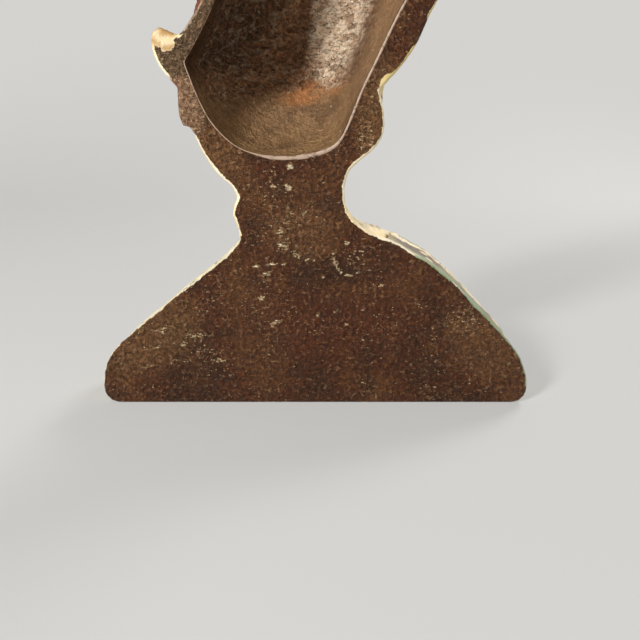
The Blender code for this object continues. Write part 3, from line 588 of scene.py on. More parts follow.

# Tones of the hollow under its crust: share, colour and bands. The two IRON_DARK bands that darken its left
# side are painted shade.
HOLLOW_TONES = [
    (1.00, FLOOR_TAN, []),
    (0.35, IRON_DARK, [("x", -14.0, -26.0), ("z", 76.0, 86.0)]),
    (0.35, IRON_DARK, [("mottle", 0.0, 0.7)]),
    (0.40, FLOOR_SAND, [("mottle", -0.1, -0.8)]),
    (1.00, WALL_BROWN, [("z", 84.0, 92.0)]),
    (1.00, WALL_TAN, [("z", 80.0, 90.0), ("slant", 8.0, 12.0)]),
    (0.30, IRON_DARK, [("z", 84.0, 90.0), ("x", -20.0, -26.0)]),
]

# The painted shade on the hollow's left wall where it turns to face right, laid over the crust, and the patch
# of rust on its floor
LEFT_WALL_SHADE = (0.65, IRON_DARK, [("turned_x", 0.2, 0.7), ("z", 86.0, 92.0)])
RUST_PATCH = (-2.0, 84.2, 13.0, 4.2, 12.0)


def limited(at, mask, bands):
    """A mask times a soft step for each of its bands."""
    for field, start, full in bands:
        mask = mask * ramp(getattr(at, field), start, full)
    return mask


def casting_fields(points, normals):
    """What each point of the skin lies on: its place, distances, masks of 0 to 1 and noise."""
    flat = points[:, (0, 2)]
    at = SimpleNamespace(x=flat[:, 0], z=flat[:, 1], depth=points[:, 1] - BACK)
    at.turned_x, turned_y, at.turned_z = normals.T
    in_mouth = inside(flat, MOUTH)
    at.hollow = (in_mouth & (turned_y < 0.1) & (at.depth > 0.3)).astype(float)
    at.to_mouth = distance_to(flat, MOUTH)
    at.to_edge = distance_to(flat, OUTLINE)
    at.in_plate = inside(flat, OUTLINE)
    at.face = ramp(at.depth, 1.2, 0.5) * (1.0 - at.hollow)
    at.front = ramp(at.depth, 4.0, 8.0) * (1.0 - at.hollow)

    for name, (size, octaves, seed) in SKIN_NOISE.items():
        setattr(at, name, rough(points, size, octaves, seed))
    at.mottle = at.lumps + at.patches
    at.folds = np.abs(rough(points, 3.2, 3, 23.5, (0.8, 1.0, 1.3)))
    at.slant = at.x - WALL_LEAN * (at.z - CRUST_FOOT)
    line = CRUST_FOOT + CRUST_SLOPE * at.x + 1.3 * rough(points, 6.0, 3, 41.0)
    at.crust = at.hollow * ramp(at.z - line, -0.3, 0.5) * ramp(at.depth, 5.0, 12.0)
    at.crust *= ramp(at.slant - 1.5 * at.grain, 9.5, 5.0)
    # A painted highlight over the right part of the crust
    at.burnish = ramp(at.x - 0.1 * (at.z - 95.0), -3.5, -0.5)
    at.burnish *= ramp(at.z - 1.6 * np.abs(at.x - 4.0), 78.0, 88.0)
    at.left_rim = limited(at, at.face, LEFT_RIM)
    at.bump_red = limited(at, 1.0, WING_BUMP)
    return at


def cast_relief(at, points, normals, edges):
    """How far the cast surface rises: lumps and grain, the crust, the feathers and the turf."""
    rise = LUMP_HIGH * at.lumps + GRAIN_HIGH * at.grain
    rise += at.crust * (CRUST_HIGH - FOLD_DEEP * at.folds)

    # Round the sides the rows of feathers go on along the depth
    turned = np.clip(SIDE_TURN * smoothed(normals, edges, 8)[:, 0], -1.0, 1.0)
    wrapped = at.x - SIDE_WRAP * turned * (np.clip(at.depth, SIDE_NEAR, SIDE_FAR) - SIDE_FAR)
    feathers, groove = scales(wrapped + ROW_LEAN * at.z, at.z + ROW_RISE * at.x)
    plumage = at.front * ramp(at.z, MOUND_TOP + 14.0, MOUND_TOP + 22.0)
    rise += plumage * FEATHER_RELIEF * (feathers - FEATHER_LEVEL)

    turf = at.front * ramp(at.z, MOUND_TOP + 1.0, MOUND_TOP - 4.0)
    blades = np.abs(rough(points, 3.2, 2, 87.0, (1.0, 1.0, 0.55)))
    rise += turf * (TURF_HIGH * blades - TURF_SUNK)
    at.rise = rise * ramp(at.z, 0.3, 1.2)
    at.grooves = plumage * groove

    # The mound's left slope lies a little lower than the solid's
    upward = ramp(at.turned_z, 0.1, 0.4) * ramp(at.z, MOUND_TOP + 1.0, MOUND_TOP - 2.0)
    return at.rise - SLOPE_FLATTER * limited(at, upward, FLATTENED)


def iron_tint(at, points):
    """The colour of the bare iron at each point."""
    tint = np.tile(IRON, (len(points), 1))
    for share, colour, bands in IRON_TONES:
        tint = blend(tint, limited(at, 1.0, bands) * share, colour)
    for share, colour, *patch in FACE_TONES:
        tint = blend(tint, at.face * spot(points, *patch) * share, colour)
    left_arm = np.maximum(limited(at, at.face, LEFT_ARM), limited(at, at.face, LEFT_FLANGE))
    tint = blend(tint, left_arm * GREY_SHARE, IRON_GREY)
    # A painted highlight along the left arris of the flange
    tint = blend(tint, at.left_rim, ARRIS_HIGHLIGHT)
    for share, colour, bands in HOLLOW_TONES:
        tint = blend(tint, limited(at, at.hollow, bands) * share, colour)

    tint = blend(tint, at.crust, CRUST)
    # Painted highlights on the crust's fold crests and over its right part
    ridge_highlight = at.crust * ramp(at.folds + 0.06 * at.grain, 0.16, 0.02)
    tint = blend(tint, ridge_highlight * RIDGE_SHARE, RIDGE_HIGHLIGHT)
    tint = blend(tint, at.burnish * HIGHLIGHT_SHARE * at.crust, HIGHLIGHT_TONE)
    rusty = at.hollow * spot(points, *RUST_PATCH) * ramp(at.lumps + 0.6 * at.grain, -1.0, 0.5)
    tint = blend(tint, rusty * RUST_SHARE, RUST)
    # Painted shade on the hollow's left wall
    share, colour, bands = LEFT_WALL_SHADE
    tint = blend(tint, limited(at, at.hollow, bands) * share, colour)
    return blend(tint, at.face * at.bump_red * PINK_SHARE, WORN_PINK)


def iron_flecks_and_glints(at, points):
    """How thickly pale specks and painted glints lie on the bare iron: in soft clouds and in the scars."""
    flecks_and_glints = 0.6 * ramp(rough(points, 9.0, 2, 33.0), -0.1, 0.5)
    for *patch, strength in MARKS:
        flecks_and_glints += 1.3 * strength * spot(points, *patch)
    flecks_and_glints += 0.9 * limited(at, at.face, LEFT_FLECKS)
    flecks_and_glints = np.where(at.left_rim > 0.2, -1.0, flecks_and_glints)
    return np.where(at.hollow > 0.5, -0.6 - at.crust, flecks_and_glints)


def paint_coat(at, tail_paint):
    """The colour of the old paint at each point, before it is worn."""
    green = ramp(at.z, MOUND_TOP + 1.5, MOUND_TOP - 0.5)
    coat = np.tile(CREAM, (len(green), 1))
    coat = blend(coat, green, SAGE)

    # Beside the back the mound is cream, dirty in part, with a green edge outside
    ragged = at.depth + 4.0 * at.edge_noise + 1.5 * at.lumps
    beside = np.where(at.x > 0.0, ramp(ragged, *CREAM_RIGHT), ramp(ragged, *CREAM_LEFT))
    coat = blend(coat, green * beside, CREAM_EDGE)
    dirty = ramp(at.edge_noise + 0.05 * at.depth, 0.0, 0.2) * ramp(ragged, *DIRT_END)
    dirty *= ramp(at.x, 19.0, 23.0) * (1.0 - 0.3 * ramp(at.x, 32.0, 38.0))
    coat = blend(coat, green * beside * dirty, DIRTY)
    outer = ramp(at.x, 31.0, 37.0)
    right_green = ramp(at.edge_noise + 0.3 * outer, -0.4, -0.1) * ramp(at.x, 20.0, 24.0)
    left_green = 0.35 * ramp(at.edge_noise, 0.0, 0.3) * ramp(at.x, 0.0, -4.0)
    rear_green = np.maximum(np.where(at.x > 0.0, right_green, 0.0), left_green)
    coat = blend(coat, green * ramp(at.depth - 3.0 * outer, 6.0, 4.0) * rear_green, MINT)

    red = np.maximum(at.back_paint, at.bump_red)
    coat = blend(coat, red, RED_BROWN)
    rear_edge = ramp(at.depth, 3.0, 1.5) * (1.0 - green) * (1.0 - red)
    coat = blend(coat, rear_edge * 0.8, CREAM_EDGE)
    coat = blend(coat, limited(at, 1.0, YELLOW_EDGE), CREAM_YELLOW)
    bill = ramp(at.x, BILL_START - 0.5, BILL_START + 0.5) * ramp(at.z, BILL_LOW - 1.5, BILL_LOW - 1.0)
    coat = blend(coat, bill, OCHRE)
    brushed = np.clip(0.6 + 1.3 * at.grain, 0.2, 1.0)
    return blend(coat, tail_paint * ramp(at.depth, 3.0, 1.5) * brushed, TAIL_TAN)


def paint_cover(at, points, tail_reach):
    """How far inside the paint each point lies: below 0 the iron is bare."""
    beside = np.where(at.x < 0.0, WRAP_LEFT, WRAP_RIGHT)
    wrap = np.where(at.z > MOUND_TOP, WRAP_BODY, beside) + 0.3 * at.edge_noise
    wrap -= 3.0 * ramp(at.z, 5.0, 3.0)
    wrap -= 0.5 * at.bump_red
    wrap += spot(points, 17.6, 86.5, 2.0, 2.4)
    wrap -= (0.35 - 0.5 * at.edge_noise) * ramp(at.x, 17.0, 20.0) * ramp(at.z, 88.0, 90.0)
    cover = wrap - at.to_edge
    cover -= ramp(at.depth, 1.5, 0.0) * at.back_paint * (1.0 - at.bump_red)
    cover = np.where((at.depth > 0.9) & (at.z > 0.8), COVERED, cover)
    cover = np.where(at.depth < 1.5, np.maximum(cover, 1.2 * tail_reach), cover)
    cover = np.where(at.left_rim > 0.3, RIM_BARE, cover)
    return np.where(at.hollow > 0.5, BARE, cover)


def tail_limits(at, points):
    """How far inside the tail's own paint each point lies, with a brushed fringe below."""
    fringe = TAIL_TOP - FRINGE_DROP - FRINGE_SLOPE * np.clip(at.x + 40.0, 0.0, 3.4)
    fringe += FRINGE_RAGGED * rough(points, 1.1, 2, 93.0, (1.8, 1.0, 0.6))
    end = TAIL_END + TAIL_LEAN * (at.z - TAIL_TOP) + END_RAGGED * rough(points, 1.4, 2, 95.0)
    return np.minimum(at.z - fringe, end - at.x)


def make_casting():
    """The iron: every region that runs into the next, as one skin with its cast surface."""
    casting = fused("casting", CASTING_NODES, SKIN_SWELL, SKIN_VOXEL)
    mesh = casting.data
    edges = read_edges(mesh)
    points = read_points(mesh) - SWELL_TAKEN_BACK * SKIN_SWELL * read_normals(mesh)
    points = smoothed(points, edges, SMOOTH_ROUNDS)
    soft = ramp(points[:, 1] - BACK, 5.0, 9.0) * ramp(points[:, 2], MOUND_TOP + 4.0, MOUND_TOP + 10.0)
    points = smoothed(points, edges, FRONT_ROUNDS, soft[:, None])
    write_points(mesh, points)

    normals = read_normals(mesh)
    at = casting_fields(points, normals)
    points = points + cast_relief(at, points, normals, edges)[:, None] * normals
    points[:, 1] = np.maximum(points[:, 1], REARMOST + 0.2)
    points[:, 2] = np.maximum(points[:, 2], 0.0)
    write_points(mesh, points)

    inward = np.where(at.in_plate, -at.to_edge, at.to_edge)
    at.back_paint = ramp(inward + at.edge_noise, -7.8, -7.2) * ramp(at.x, -2.0, -4.0)
    at.back_paint *= ramp(at.z, TAIL_TOP - 2.0, TAIL_TOP + 1.0) * ramp(at.z, 150.0, 140.0)
    tail_reach = tail_limits(at, points)
    # Lower in the grooves round the feather tips, so the paint takes painted shade there and chips less
    proud = 0.5 + at.rise - 0.45 * at.grooves
    proud = np.where(at.depth < 2.0, np.maximum(proud, 0.75), proud)
    give(mesh, "tint", iron_tint(at, points))
    give(mesh, "coat", paint_coat(at, ramp(tail_reach, -0.6, 0.6)))
    give(mesh, "cover", paint_cover(at, points, tail_reach))
    give(mesh, "crust", at.crust)
    give(mesh, "flecks_and_glints", iron_flecks_and_glints(at, points))
    # The crust's gloss, and the painted highlight over its right part
    give(mesh, "gloss_and_painted_sheen", at.crust * (0.22 + 0.78 * at.burnish))
    give(mesh, "even", at.hollow * (1.0 - at.crust))
    give(mesh, "front", ramp(at.depth, 2.0, 6.0) * (1.0 - at.hollow))
    give(mesh, "proud", np.clip(proud, 0.0, 1.0))
    mesh.shade_smooth()
    mesh.materials.clear()
    mesh.materials.append(iron_and_paint())
    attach(casting, "root")
    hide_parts(*CASTING_NODES)


# Tints of the iron's material, as factors of each channel, and the relief of its grain in mm: the
# crust's folds, the broad and the close grain, and how much of the grain the paint fills
DEEP_TINT = (0.50, 0.42, 0.34)
BRIGHT_TINT = (1.30, 1.20, 1.08)
CALM_TINT = (0.62, 0.60, 0.56)
WARM_GLOSS = (1.0, 0.88, 0.74)
FOLD_BUMP = 8.0
BROAD_BUMP = 2.4
CLOSE_BUMP = 2.3
PAINT_FILLS = 2.0


def iron_and_paint():
    """Grainy cast iron where bare, and old brushed paint with chips where it is covered."""
    shade = Shade("worn_casting")
    fine = shade.noise(0.56, 3.0, 0.7)
    grit = shade.noise(1.1, 3.0, 0.55, shift=14.0)
    middle = shade.noise(2.0, 3.0, 0.6, shift=5.0)
    streaks = shade.noise(0.75, 3.0, 0.6, stretch=(0.55, 1.0, 1.5), shift=9.0)
    tiny = shade.noise(0.2, 2.0, 0.6, shift=3.0)
    mixed = shade.weighted((middle, 0.45), (fine, 0.55))
    gloss_and_painted_sheen, even, flecks_and_glints = shade.read("gloss_and_painted_sheen"), shade.read("even"), shade.read("flecks_and_glints")

    # Dark and bright facets of the grain, calmer on the hollow's even floor and made brighter under the
    # crust's painted highlight
    tint = shade.read("tint", "Color")
    bright = shade.tinted(tint, BRIGHT_TINT)
    facets = shade.weighted((shade.ramp(grit, 0.42, 0.62), 0.7), (shade.ramp(fine, 0.44, 0.62), 0.3))
    facets = shade.math("MAXIMUM", facets, shade.times(gloss_and_painted_sheen, 0.6))
    iron = shade.mix(facets, shade.tinted(tint, DEEP_TINT), bright)
    calm = shade.mix(shade.ramp(fine, 0.3, 0.7), shade.tinted(tint, CALM_TINT), bright)
    iron = shade.mix(shade.times(even, 0.5), iron, calm)
    knobs = shade.weighted((middle, 0.4), (grit, 0.6), (flecks_and_glints, 0.02), (even, -0.1))
    iron = shade.mix(shade.times(shade.ramp(knobs, 0.55, 0.65), 0.42), iron, RUBBED)

    # The crust's folds where it is glossy: painted shade between them, and painted highlights and glints
    # along their crests
    wrinkle = shade.noise(3.2, 2.0, 0.46, stretch=(0.6, 1.0, 1.3), shift=31.0)
    wrinkle = shade.math("ABSOLUTE", shade.math("SUBTRACT", wrinkle, 0.5))
    iron = shade.mix(shade.times(shade.ramp(wrinkle, 0.07, 0.16), gloss_and_painted_sheen, 0.55), iron, CRUST)
    iron = shade.mix(shade.times(shade.ramp(wrinkle, 0.07, 0.0), gloss_and_painted_sheen, 0.5), iron, HIGHLIGHT_TONE)
    iron = shade.mix(shade.times(shade.ramp(wrinkle, 0.022, 0.0), gloss_and_painted_sheen, 0.6), iron, GLINT)

    # Pale specks with painted glints where they are strongest, and a few specks on the floor of the hollow
    flake = shade.weighted((fine, 0.4), (streaks, 0.6), (flecks_and_glints, 0.045))
    iron = shade.mix(shade.times(shade.ramp(flake, 0.61, 0.65), 0.85), iron, FLECK)
    iron = shade.mix(shade.ramp(flake, 0.70, 0.76), iron, GLINT)
    speck = shade.ramp(shade.cells(5.0), 0.085, 0.06)
    iron = shade.mix(shade.times(speck, even, 0.8), iron, FLECK)

    cover = shade.math("MULTIPLY_ADD", fine, 0.7, shade.read("cover"))
    cover = shade.math("MULTIPLY_ADD", middle, 0.9, cover)
    worn = shade.times(shade.chips(middle, fine), shade.read("front"))
    covered = shade.times(shade.ramp(cover, 0.72, 0.88), shade.math("SUBTRACT", 1.0, worn))
    paint = shade.aged(shade.read("coat", "Color"), mixed)
    shade.set("Base Color", shade.mix(covered, iron, paint))
    gloss = shade.eased(shade.ramp(mixed, 0.35, 0.65, 0.40, 0.26), gloss_and_painted_sheen, 0.14)
    shade.set("Roughness", shade.eased(gloss, covered, -0.24))
    shade.set("Metallic", shade.times(gloss_and_painted_sheen, 0.25))
    shade.set("Specular IOR Level", 0.5)
    shade.set("Specular Tint", WARM_GLOSS)

    folds = shade.bump(wrinkle, shade.times(shade.read("crust"), -FOLD_BUMP * MM))
    calmer = shade.eased(1.0, even, 0.55)
    broad = shade.times(shade.eased(BROAD_BUMP * MM, covered, PAINT_FILLS * MM), calmer)
    close = shade.times(shade.eased(CLOSE_BUMP * MM, covered, PAINT_FILLS * MM), calmer)
    close = shade.times(close, shade.eased(1.0, gloss_and_painted_sheen, 0.65))
    grain = shade.weighted((tiny, 0.1), (fine, 0.35), (grit, 0.75))
    shade.set("Normal", shade.bump(grain, close, shade.bump(middle, broad, folds)))
    return shade.material


# The bead: where the skin's lip ends against the drawn mouth, the steps along it, its half width and
# height with what they gain along the bottom and up the right side, what they lose on the bare left,
# and the tint of its dull parts
LIP_EDGE = -0.6
BEAD_STEP = 0.45
BEAD_WIDE, WIDE_LOW, WIDE_SIDE = 0.15, 0.30, 0.16
BEAD_HIGH, HIGH_LOW, HIGH_SIDE = 0.17, 0.14, 0.12
BARE_LOSS = 0.6
DULL_TINT = (0.35, 0.30, 0.26)


def lengths_along(line):
    """How far along a line each of its points lies."""
    return np.concatenate([[0.0], np.cumsum(np.linalg.norm(np.diff(line, axis=0), axis=1))])


def points_along(line, places):
    """The points that lie at some lengths along a line."""
    start = lengths_along(line)
    return np.column_stack([np.interp(places, start, line[:, axis]) for axis in (0, 1)])


def bead_path():
    """The middle line of the bead, evenly stepped and rounded, and the way out from it."""
    ring = chained(MOUTH)
    closed = np.vstack([ring, ring[:1]])
    length = lengths_along(closed)[-1]
    count = int(length / BEAD_STEP)
    path = points_along(closed, np.arange(count) * length / count)
    for _ in range(6):
        path = path + 0.25 * (np.roll(path, 1, axis=0) + np.roll(path, -1, axis=0) - 2.0 * path)
    along = np.roll(path, -1, axis=0) - np.roll(path, 1, axis=0)
    along /= np.linalg.norm(along, axis=1)[:, None]
    out = np.column_stack([along[:, 1], -along[:, 0]])
    out *= np.sign(((path - path.mean(axis=0)) * out).sum(axis=1))[:, None]
    return path, out


def closed_tube(name, points, count, steps):
    """A mesh through rings of points, each of a number of steps, that closes on itself."""
    bm = bmesh.new()
    verts = [bm.verts.new([c * MM for c in point]) for point in points]
    for i in range(count):
        here, there = i * steps, (i + 1) % count * steps
        for k in range(steps):
            m = (k + 1) % steps
            bm.faces.new((verts[here + k], verts[here + m], verts[there + m], verts[there + k]))
    bmesh.ops.recalc_face_normals(bm, faces=bm.faces)
    mesh = bpy.data.meshes.new(name)
    bm.to_mesh(mesh)
    bm.free()
    return mesh


def make_bead():
    """The raised bead round the hollow's mouth, pale with painted light, and rougher along the bottom."""
    path, out = bead_path()
    x, z = path.T
    bottom = ramp(z, z.min() + 6.0, z.min() + 1.0) * ramp(x, -18.0, -10.0)
    right = ramp(x, x.min() + 18.0, x.min() + 30.0)
    high_left = ramp(z, 90.0, 93.0) * (1.0 - right)
    turns = np.radians(np.arange(0, 360, 30))
    points = []
    for (px, pz), (ox, oz), low, side, bare in zip(path, out, bottom, right, high_left):
        swell = 1.0 + 0.28 * noise.noise(Vector((px / 1.6, pz / 1.6, 4.0)))
        swell += 0.35 * low * noise.noise(Vector((px / 0.8, pz / 0.8, 9.0)))
        wide = (BEAD_WIDE + WIDE_LOW * low + WIDE_SIDE * side) * swell * (1.0 - BARE_LOSS * bare)
        high = (BEAD_HIGH + HIGH_LOW * low + HIGH_SIDE * side) * swell * (1.0 - BARE_LOSS * bare)
        level = BACK - RIM_HEIGHT + high + 0.25 * bare
        for turn in turns:
            reach = LIP_EDGE + 0.05 + 0.32 * max(low, side) + wide * math.cos(turn)
            points.append((px + ox * reach, level - high * math.sin(turn), pz + oz * reach))
    mesh = closed_tube("hollow_bead", points, len(path), len(turns))
    bead = add_object("hollow_bead", mesh)
    # Painted light: the bead is paler on the right and along the bottom, and darker high on the left
    bright = np.repeat((0.75 + 0.25 * np.maximum(right, bottom)) * (1.0 - high_left), len(turns))
    give(mesh, "tint", blend(np.tile(IRON_PALE, (len(bright), 1)), bright, BEAD))
    mesh.shade_smooth()

    shade = Shade("pale_bead_painted_light")
    fine = shade.noise(0.5, 3.0, 0.6)
    middle = shade.noise(2.2, 2.0, 0.6, shift=2.0)
    tint = shade.read("tint", "Color")
    mixed = shade.weighted((middle, 0.5), (fine, 0.5))
    shade.set("Base Color", shade.mix(shade.ramp(mixed, 0.36, 0.50), shade.tinted(tint, DULL_TINT), tint))
    shade.set("Roughness", 0.42)
    shade.set("Normal", shade.bump(fine, 0.12))
    mesh.materials.append(shade.material)
    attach(bead, "root")


# The wing's two edges from the shoulder to the tip, as (x, z), and how its rows of feathers lie
WING_BACK = [
    (20.5, 126.0), (11.0, 132.0), (0.0, 132.4), (-10.6, 126.4), (-19.6, 115.0), (-26.4, 101.4),
    (-30.4, 90.4), (-33.4, 82.4),
]
WING_BELLY = [
    (21.5, 120.0), (18.4, 112.0), (12.4, 104.0), (4.0, 96.4), (-6.0, 89.0), (-15.4, 82.4), (-22.8, 78.4),
    (-29.6, 75.8),
]
WING_FEATHERS = 6
WING_SHIFT = {"wing_shoulder": 0.0, "upper_coverts": 0.5, "lower_coverts": 0.0, "flight_feathers": 0.5}
WING_STEPS = 180
CROSS_STEPS = 73
QUILL_HIGH, QUILL_WIDE = 0.22, 0.12

# Barbs on the wing's feathers: how far apart, how much they slant, and how dark their grooves are
BARB_PITCH = 1.1
BARB_SLANT = 2.6
BARB_TINT = (0.45, 0.4, 0.38)


def wing_places():
    """A search tree over the wing's face, with how far along and across each of its points lies."""
    edges = []
    for line in (WING_BACK, WING_BELLY):
        line = np.array(line)
        length = lengths_along(line)[-1]
        edges.append(points_along(line, np.linspace(0.0, length, WING_STEPS)))
    tree = KDTree(WING_STEPS * CROSS_STEPS)
    found = []
    for i, (back, belly) in enumerate(zip(*edges)):
        for j in range(CROSS_STEPS):
            across = j / (CROSS_STEPS - 1)
            x, z = back + (belly - back) * across
            tree.insert((x, 0.0, z), len(found))
            found.append((length * i / (WING_STEPS - 1), across))
    tree.balance()
    return tree, np.array(found)


# What stands proud is told against a copy of the surface: smoothed over some rounds at a weight,
# then levelled over others. The gain turns millimetres into the share that the paint reads.
BROAD_ROUNDS = 10
BROAD_WEIGHT = 0.9
LEVEL_ROUNDS = 12
PROUD_GAIN = 1.6


def relief(node, voxel, rounds, material, shape=None):
    """A closed, rounded piece in place of a CAD node, with its own fine shape."""
    thing = fused(node + "_relief", [node], 0.0, voxel)
    mesh = thing.data
    edges = read_edges(mesh)
    points = smoothed(read_points(mesh), edges, rounds)
    write_points(mesh, points)
    if shape:
        points = points + shape(mesh, points)[:, None] * read_normals(mesh)
        write_points(mesh, points)
    broad = smoothed(points, edges, BROAD_ROUNDS, BROAD_WEIGHT)
    for _ in range(LEVEL_ROUNDS):
        broad = neighbour_means(broad, edges)
    proud = ((points - broad) * read_normals(mesh)).sum(axis=1)
    give(mesh, "proud", np.clip(0.5 + PROUD_GAIN * proud, 0.0, 1.0))
    mesh.shade_smooth()
    mesh.materials.clear()
    mesh.materials.append(material)
    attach(thing, "root")
    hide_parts(node)


def old_paint(name, colour, gloss=0.52, barbs=False):
    """Old paint on iron, chipped where it stands proud, with feather barbs where asked."""
    shade = Shade(name)
    fine = shade.noise(0.42, 3.0, 0.65)
    middle = shade.noise(1.3, 3.0, 0.6, shift=5.0)
    mixed = shade.weighted((middle, 0.45), (fine, 0.55))
    iron = shade.mix(shade.ramp(mixed, 0.4, 0.6), IRON_DARK, IRON)
    paint = shade.aged(colour, mixed)
    normal = shade.bump(middle, 0.25)
    if barbs:
        slant = shade.math("ABSOLUTE", shade.read("side"))
        phase = shade.math("MULTIPLY_ADD", slant, BARB_SLANT, shade.read("along"))
        wave = shade.math("SINE", shade.times(phase, 2.0 * math.pi / BARB_PITCH))
        wave = shade.math("MULTIPLY_ADD", wave, 0.5, 0.5)
        paint = shade.mix(shade.times(wave, 0.4), paint, shade.tinted(paint, BARB_TINT))
        normal = shade.bump(wave, -0.16, normal)
    shade.set("Base Color", shade.mix(shade.chips(middle, fine), paint, iron))
    shade.set("Roughness", shade.ramp(mixed, 0.3, 0.7, gloss + 0.12, gloss))
    shade.set("Specular IOR Level", 0.45)
    shade.set("Normal", shade.bump(fine, 0.12, normal))
    return shade.material


def make_wing():
    """The four rows of feathers, each feather with its shaft and its slanting barbs."""
    tree, found = wing_places()
    material = old_paint("wing_paint", RED_BROWN, barbs=True)
    for node, shift in WING_SHIFT.items():
        def shape(mesh, points):
            nearest = [tree.find((p[0], 0.0, p[2]))[1] for p in points]
            along, across = found[nearest].T
            side = 2.0 * ((across * WING_FEATHERS + shift) % 1.0) - 1.0
            give(mesh, "along", along)
            give(mesh, "side", side)
            shown = ramp(read_normals(mesh)[:, 1], 0.1, 0.5)
            return shown * (QUILL_HIGH * np.exp(-((side / QUILL_WIDE) ** 2)) - 0.05)
        relief(node, 0.4, 2, material, shape)


# The nostril: its depth, then x, z, half width and height, and lean in degrees
NOSTRIL_DEEP = 1.3
NOSTRIL = (29.0, 187.0, 2.3, 0.9, -18.0)


def make_bill():
    """Both halves of the bill, with the nostril sunk in the upper one."""
    material = old_paint("bill_paint", OCHRE, 0.36)

    def nostril(mesh, points):
        shown = ramp(read_normals(mesh)[:, 1], 0.2, 0.5)
        return -NOSTRIL_DEEP * shown * spot(points, *NOSTRIL)

    relief("upper_bill", 0.35, 3, material, nostril)
    relief("lower_bill", 0.35, 3, material)


# The creases across the toes: how far apart, how high, and how much they lean with the depth
CREASE_PITCH = 1.9
CREASE_HIGH = 0.09
CREASE_LEAN = 0.3


def make_feet():
    """The webbed feet, creased across the toes."""
    material = old_paint("foot_paint", CREAM)

    def creases(mesh, points):
        shown = ramp(read_normals(mesh)[:, 2], 0.2, 0.6)
        lines = np.sin(points[:, 0] * 2.0 * math.pi / CREASE_PITCH + CREASE_LEAN * points[:, 1])
        return CREASE_HIGH * shown * lines

    for node in ("near_foot", "far_foot"):
        relief(node, 0.4, 26, material, creases)


def make_grass():
    material = old_paint("grass_paint", GRASS)
    for node in ("grass_left", "grass_middle", "grass_right"):
        relief(node, 0.3, 2, material)


def make_eye():
    relief("eye", 0.2, 4, old_paint("eye_paint", BLACK, 0.12))


# The stage, in metres: the sweep's front end, where it bends up and how widely, its top and half its
# width; the paper's own colour, and its glow for the camera with the distances it fades in over
SWEEP_FRONT, SWEEP_BEND, BEND_RADIUS = -2.4, 0.45, 0.8
SWEEP_TOP, SWEEP_HALF = 2.4, 2.6
PAPER = (0.62, 0.61, 0.59, 1.0)
PAPER_GLOW = (0.66, 0.65, 0.63, 1.0)
GLOW_NEAR, GLOW_FAR = 0.25, 1.1
GLOW_LEAST, GLOW_MOST = 0.45, 1.0

# Square lamps: name, place and size in metres, and watts, all aimed at the middle of the casting
LAMPS = [
    ("key", (-0.48, -0.60, 0.45), 0.14, 7.0),
    ("fill", (0.60, -0.60, 0.30), 0.60, 0.8),
    ("front_key", (0.52, 0.66, 0.62), 0.35, 6.0),
]
AIM = Vector((0.0, 0.0, 0.09))

# The sky's colour, how strongly it lights, and how bright the camera sees it
SKY = (1.0, 0.985, 0.955, 1.0)
SKY_LIGHT, SKY_SEEN = 0.26, 0.66


def paper_material():
    """Pale matt paper that the camera sees evenly bright far from the object."""
    paper = bpy.data.materials.new("paper")
    paper.use_nodes = True
    nodes, links = paper.node_tree.nodes, paper.node_tree.links
    nodes["Principled BSDF"].inputs["Base Color"].default_value = PAPER
    nodes["Principled BSDF"].inputs["Roughness"].default_value = 0.9
    place = nodes.new("ShaderNodeTexCoord")
    away = nodes.new("ShaderNodeVectorMath")
    away.operation = "LENGTH"
    fade = nodes.new("ShaderNodeMapRange")
    fade.interpolation_type = "SMOOTHSTEP"
    for name, value in (("From Min", GLOW_NEAR), ("From Max", GLOW_FAR),
                        ("To Min", GLOW_LEAST), ("To Max", GLOW_MOST)):
        fade.inputs[name].default_value = value
    seen = nodes.new("ShaderNodeLightPath")
    share = nodes.new("ShaderNodeMath")
    share.operation = "MULTIPLY"
    glow = nodes.new("ShaderNodeEmission")
    glow.inputs["Color"].default_value = PAPER_GLOW
    both = nodes.new("ShaderNodeMixShader")
    links.new(place.outputs["Object"], away.inputs[0])
    links.new(away.outputs["Value"], fade.inputs["Value"])
    links.new(seen.outputs["Is Camera Ray"], share.inputs[0])
    links.new(fade.outputs["Result"], share.inputs[1])
    links.new(share.outputs[0], both.inputs["Fac"])
    links.new(nodes["Principled BSDF"].outputs[0], both.inputs[1])
    links.new(glow.outputs[0], both.inputs[2])
    links.new(both.outputs[0], nodes["Material Output"].inputs["Surface"])
    return paper


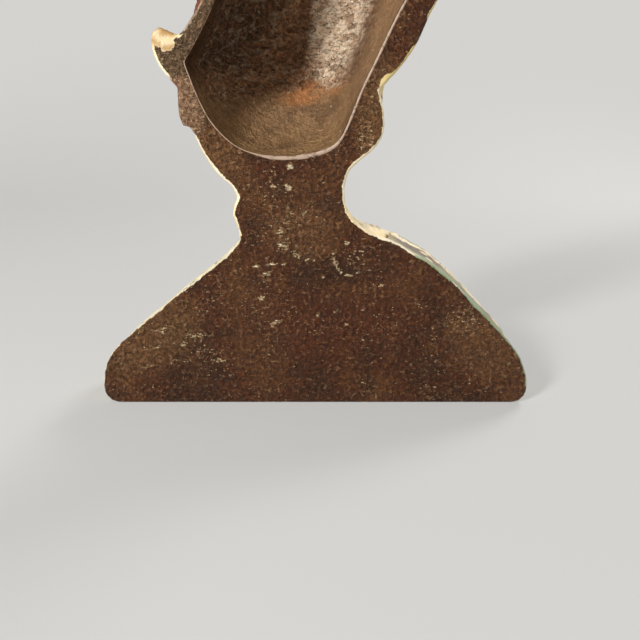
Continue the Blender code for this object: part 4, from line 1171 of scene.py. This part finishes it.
def make_sweep():
    """A pale floor that sweeps up behind the object."""
    bm = bmesh.new()
    profile = [(SWEEP_FRONT, 0.0), (SWEEP_BEND, 0.0)]
    for degrees in range(5, 91, 5):
        turn = math.radians(degrees)
        reach = SWEEP_BEND + BEND_RADIUS * math.sin(turn)
        profile.append((reach, BEND_RADIUS * (1.0 - math.cos(turn))))
    profile.append((SWEEP_BEND + BEND_RADIUS, SWEEP_TOP))
    rows = [[bm.verts.new((x, y, z)) for y, z in profile] for x in (-SWEEP_HALF, SWEEP_HALF)]
    for i in range(len(profile) - 1):
        bm.faces.new((rows[0][i], rows[1][i], rows[1][i + 1], rows[0][i + 1]))
    bmesh.ops.recalc_face_normals(bm, faces=bm.faces)
    mesh = bpy.data.meshes.new("sweep")
    bm.to_mesh(mesh)
    bm.free()
    mesh.shade_smooth()
    mesh.materials.append(paper_material())
    add_object("sweep", mesh)


def make_stage():
    """The floor, a camera at the photograph's place, soft lamps and an even sky."""
    make_sweep()
    camera_data = bpy.data.cameras.new("camera")
    camera_data.lens = LENS
    camera_data.sensor_width = SENSOR
    camera_data.clip_start = 0.01
    camera = add_object("camera", camera_data)
    camera.location = CAMERA_AT
    camera.rotation_euler = (math.radians(90.0 - CAMERA_TILT), 0.0, 0.0)
    bpy.context.scene.camera = camera

    for name, place, size, power in LAMPS:
        lamp = bpy.data.lights.new(name, "AREA")
        lamp.size = size
        lamp.energy = power
        light = add_object(name, lamp)
        light.location = place
        light.rotation_euler = (AIM - Vector(place)).to_track_quat("-Z", "Y").to_euler()

    world = bpy.data.worlds.new("world")
    world.use_nodes = True
    nodes, links = world.node_tree.nodes, world.node_tree.links
    sky = nodes["Background"]
    sky.inputs["Color"].default_value = SKY
    seen = nodes.new("ShaderNodeLightPath")
    level = nodes.new("ShaderNodeMapRange")
    level.inputs["To Min"].default_value = SKY_LIGHT
    level.inputs["To Max"].default_value = SKY_SEEN
    links.new(seen.outputs["Is Camera Ray"], level.inputs["Value"])
    links.new(level.outputs["Result"], sky.inputs["Strength"])
    bpy.context.scene.world = world
    bpy.context.scene.view_settings.view_transform = "Standard"


make_stage()
make_casting()
make_bead()
make_wing()
make_bill()
make_feet()
make_grass()
make_eye()
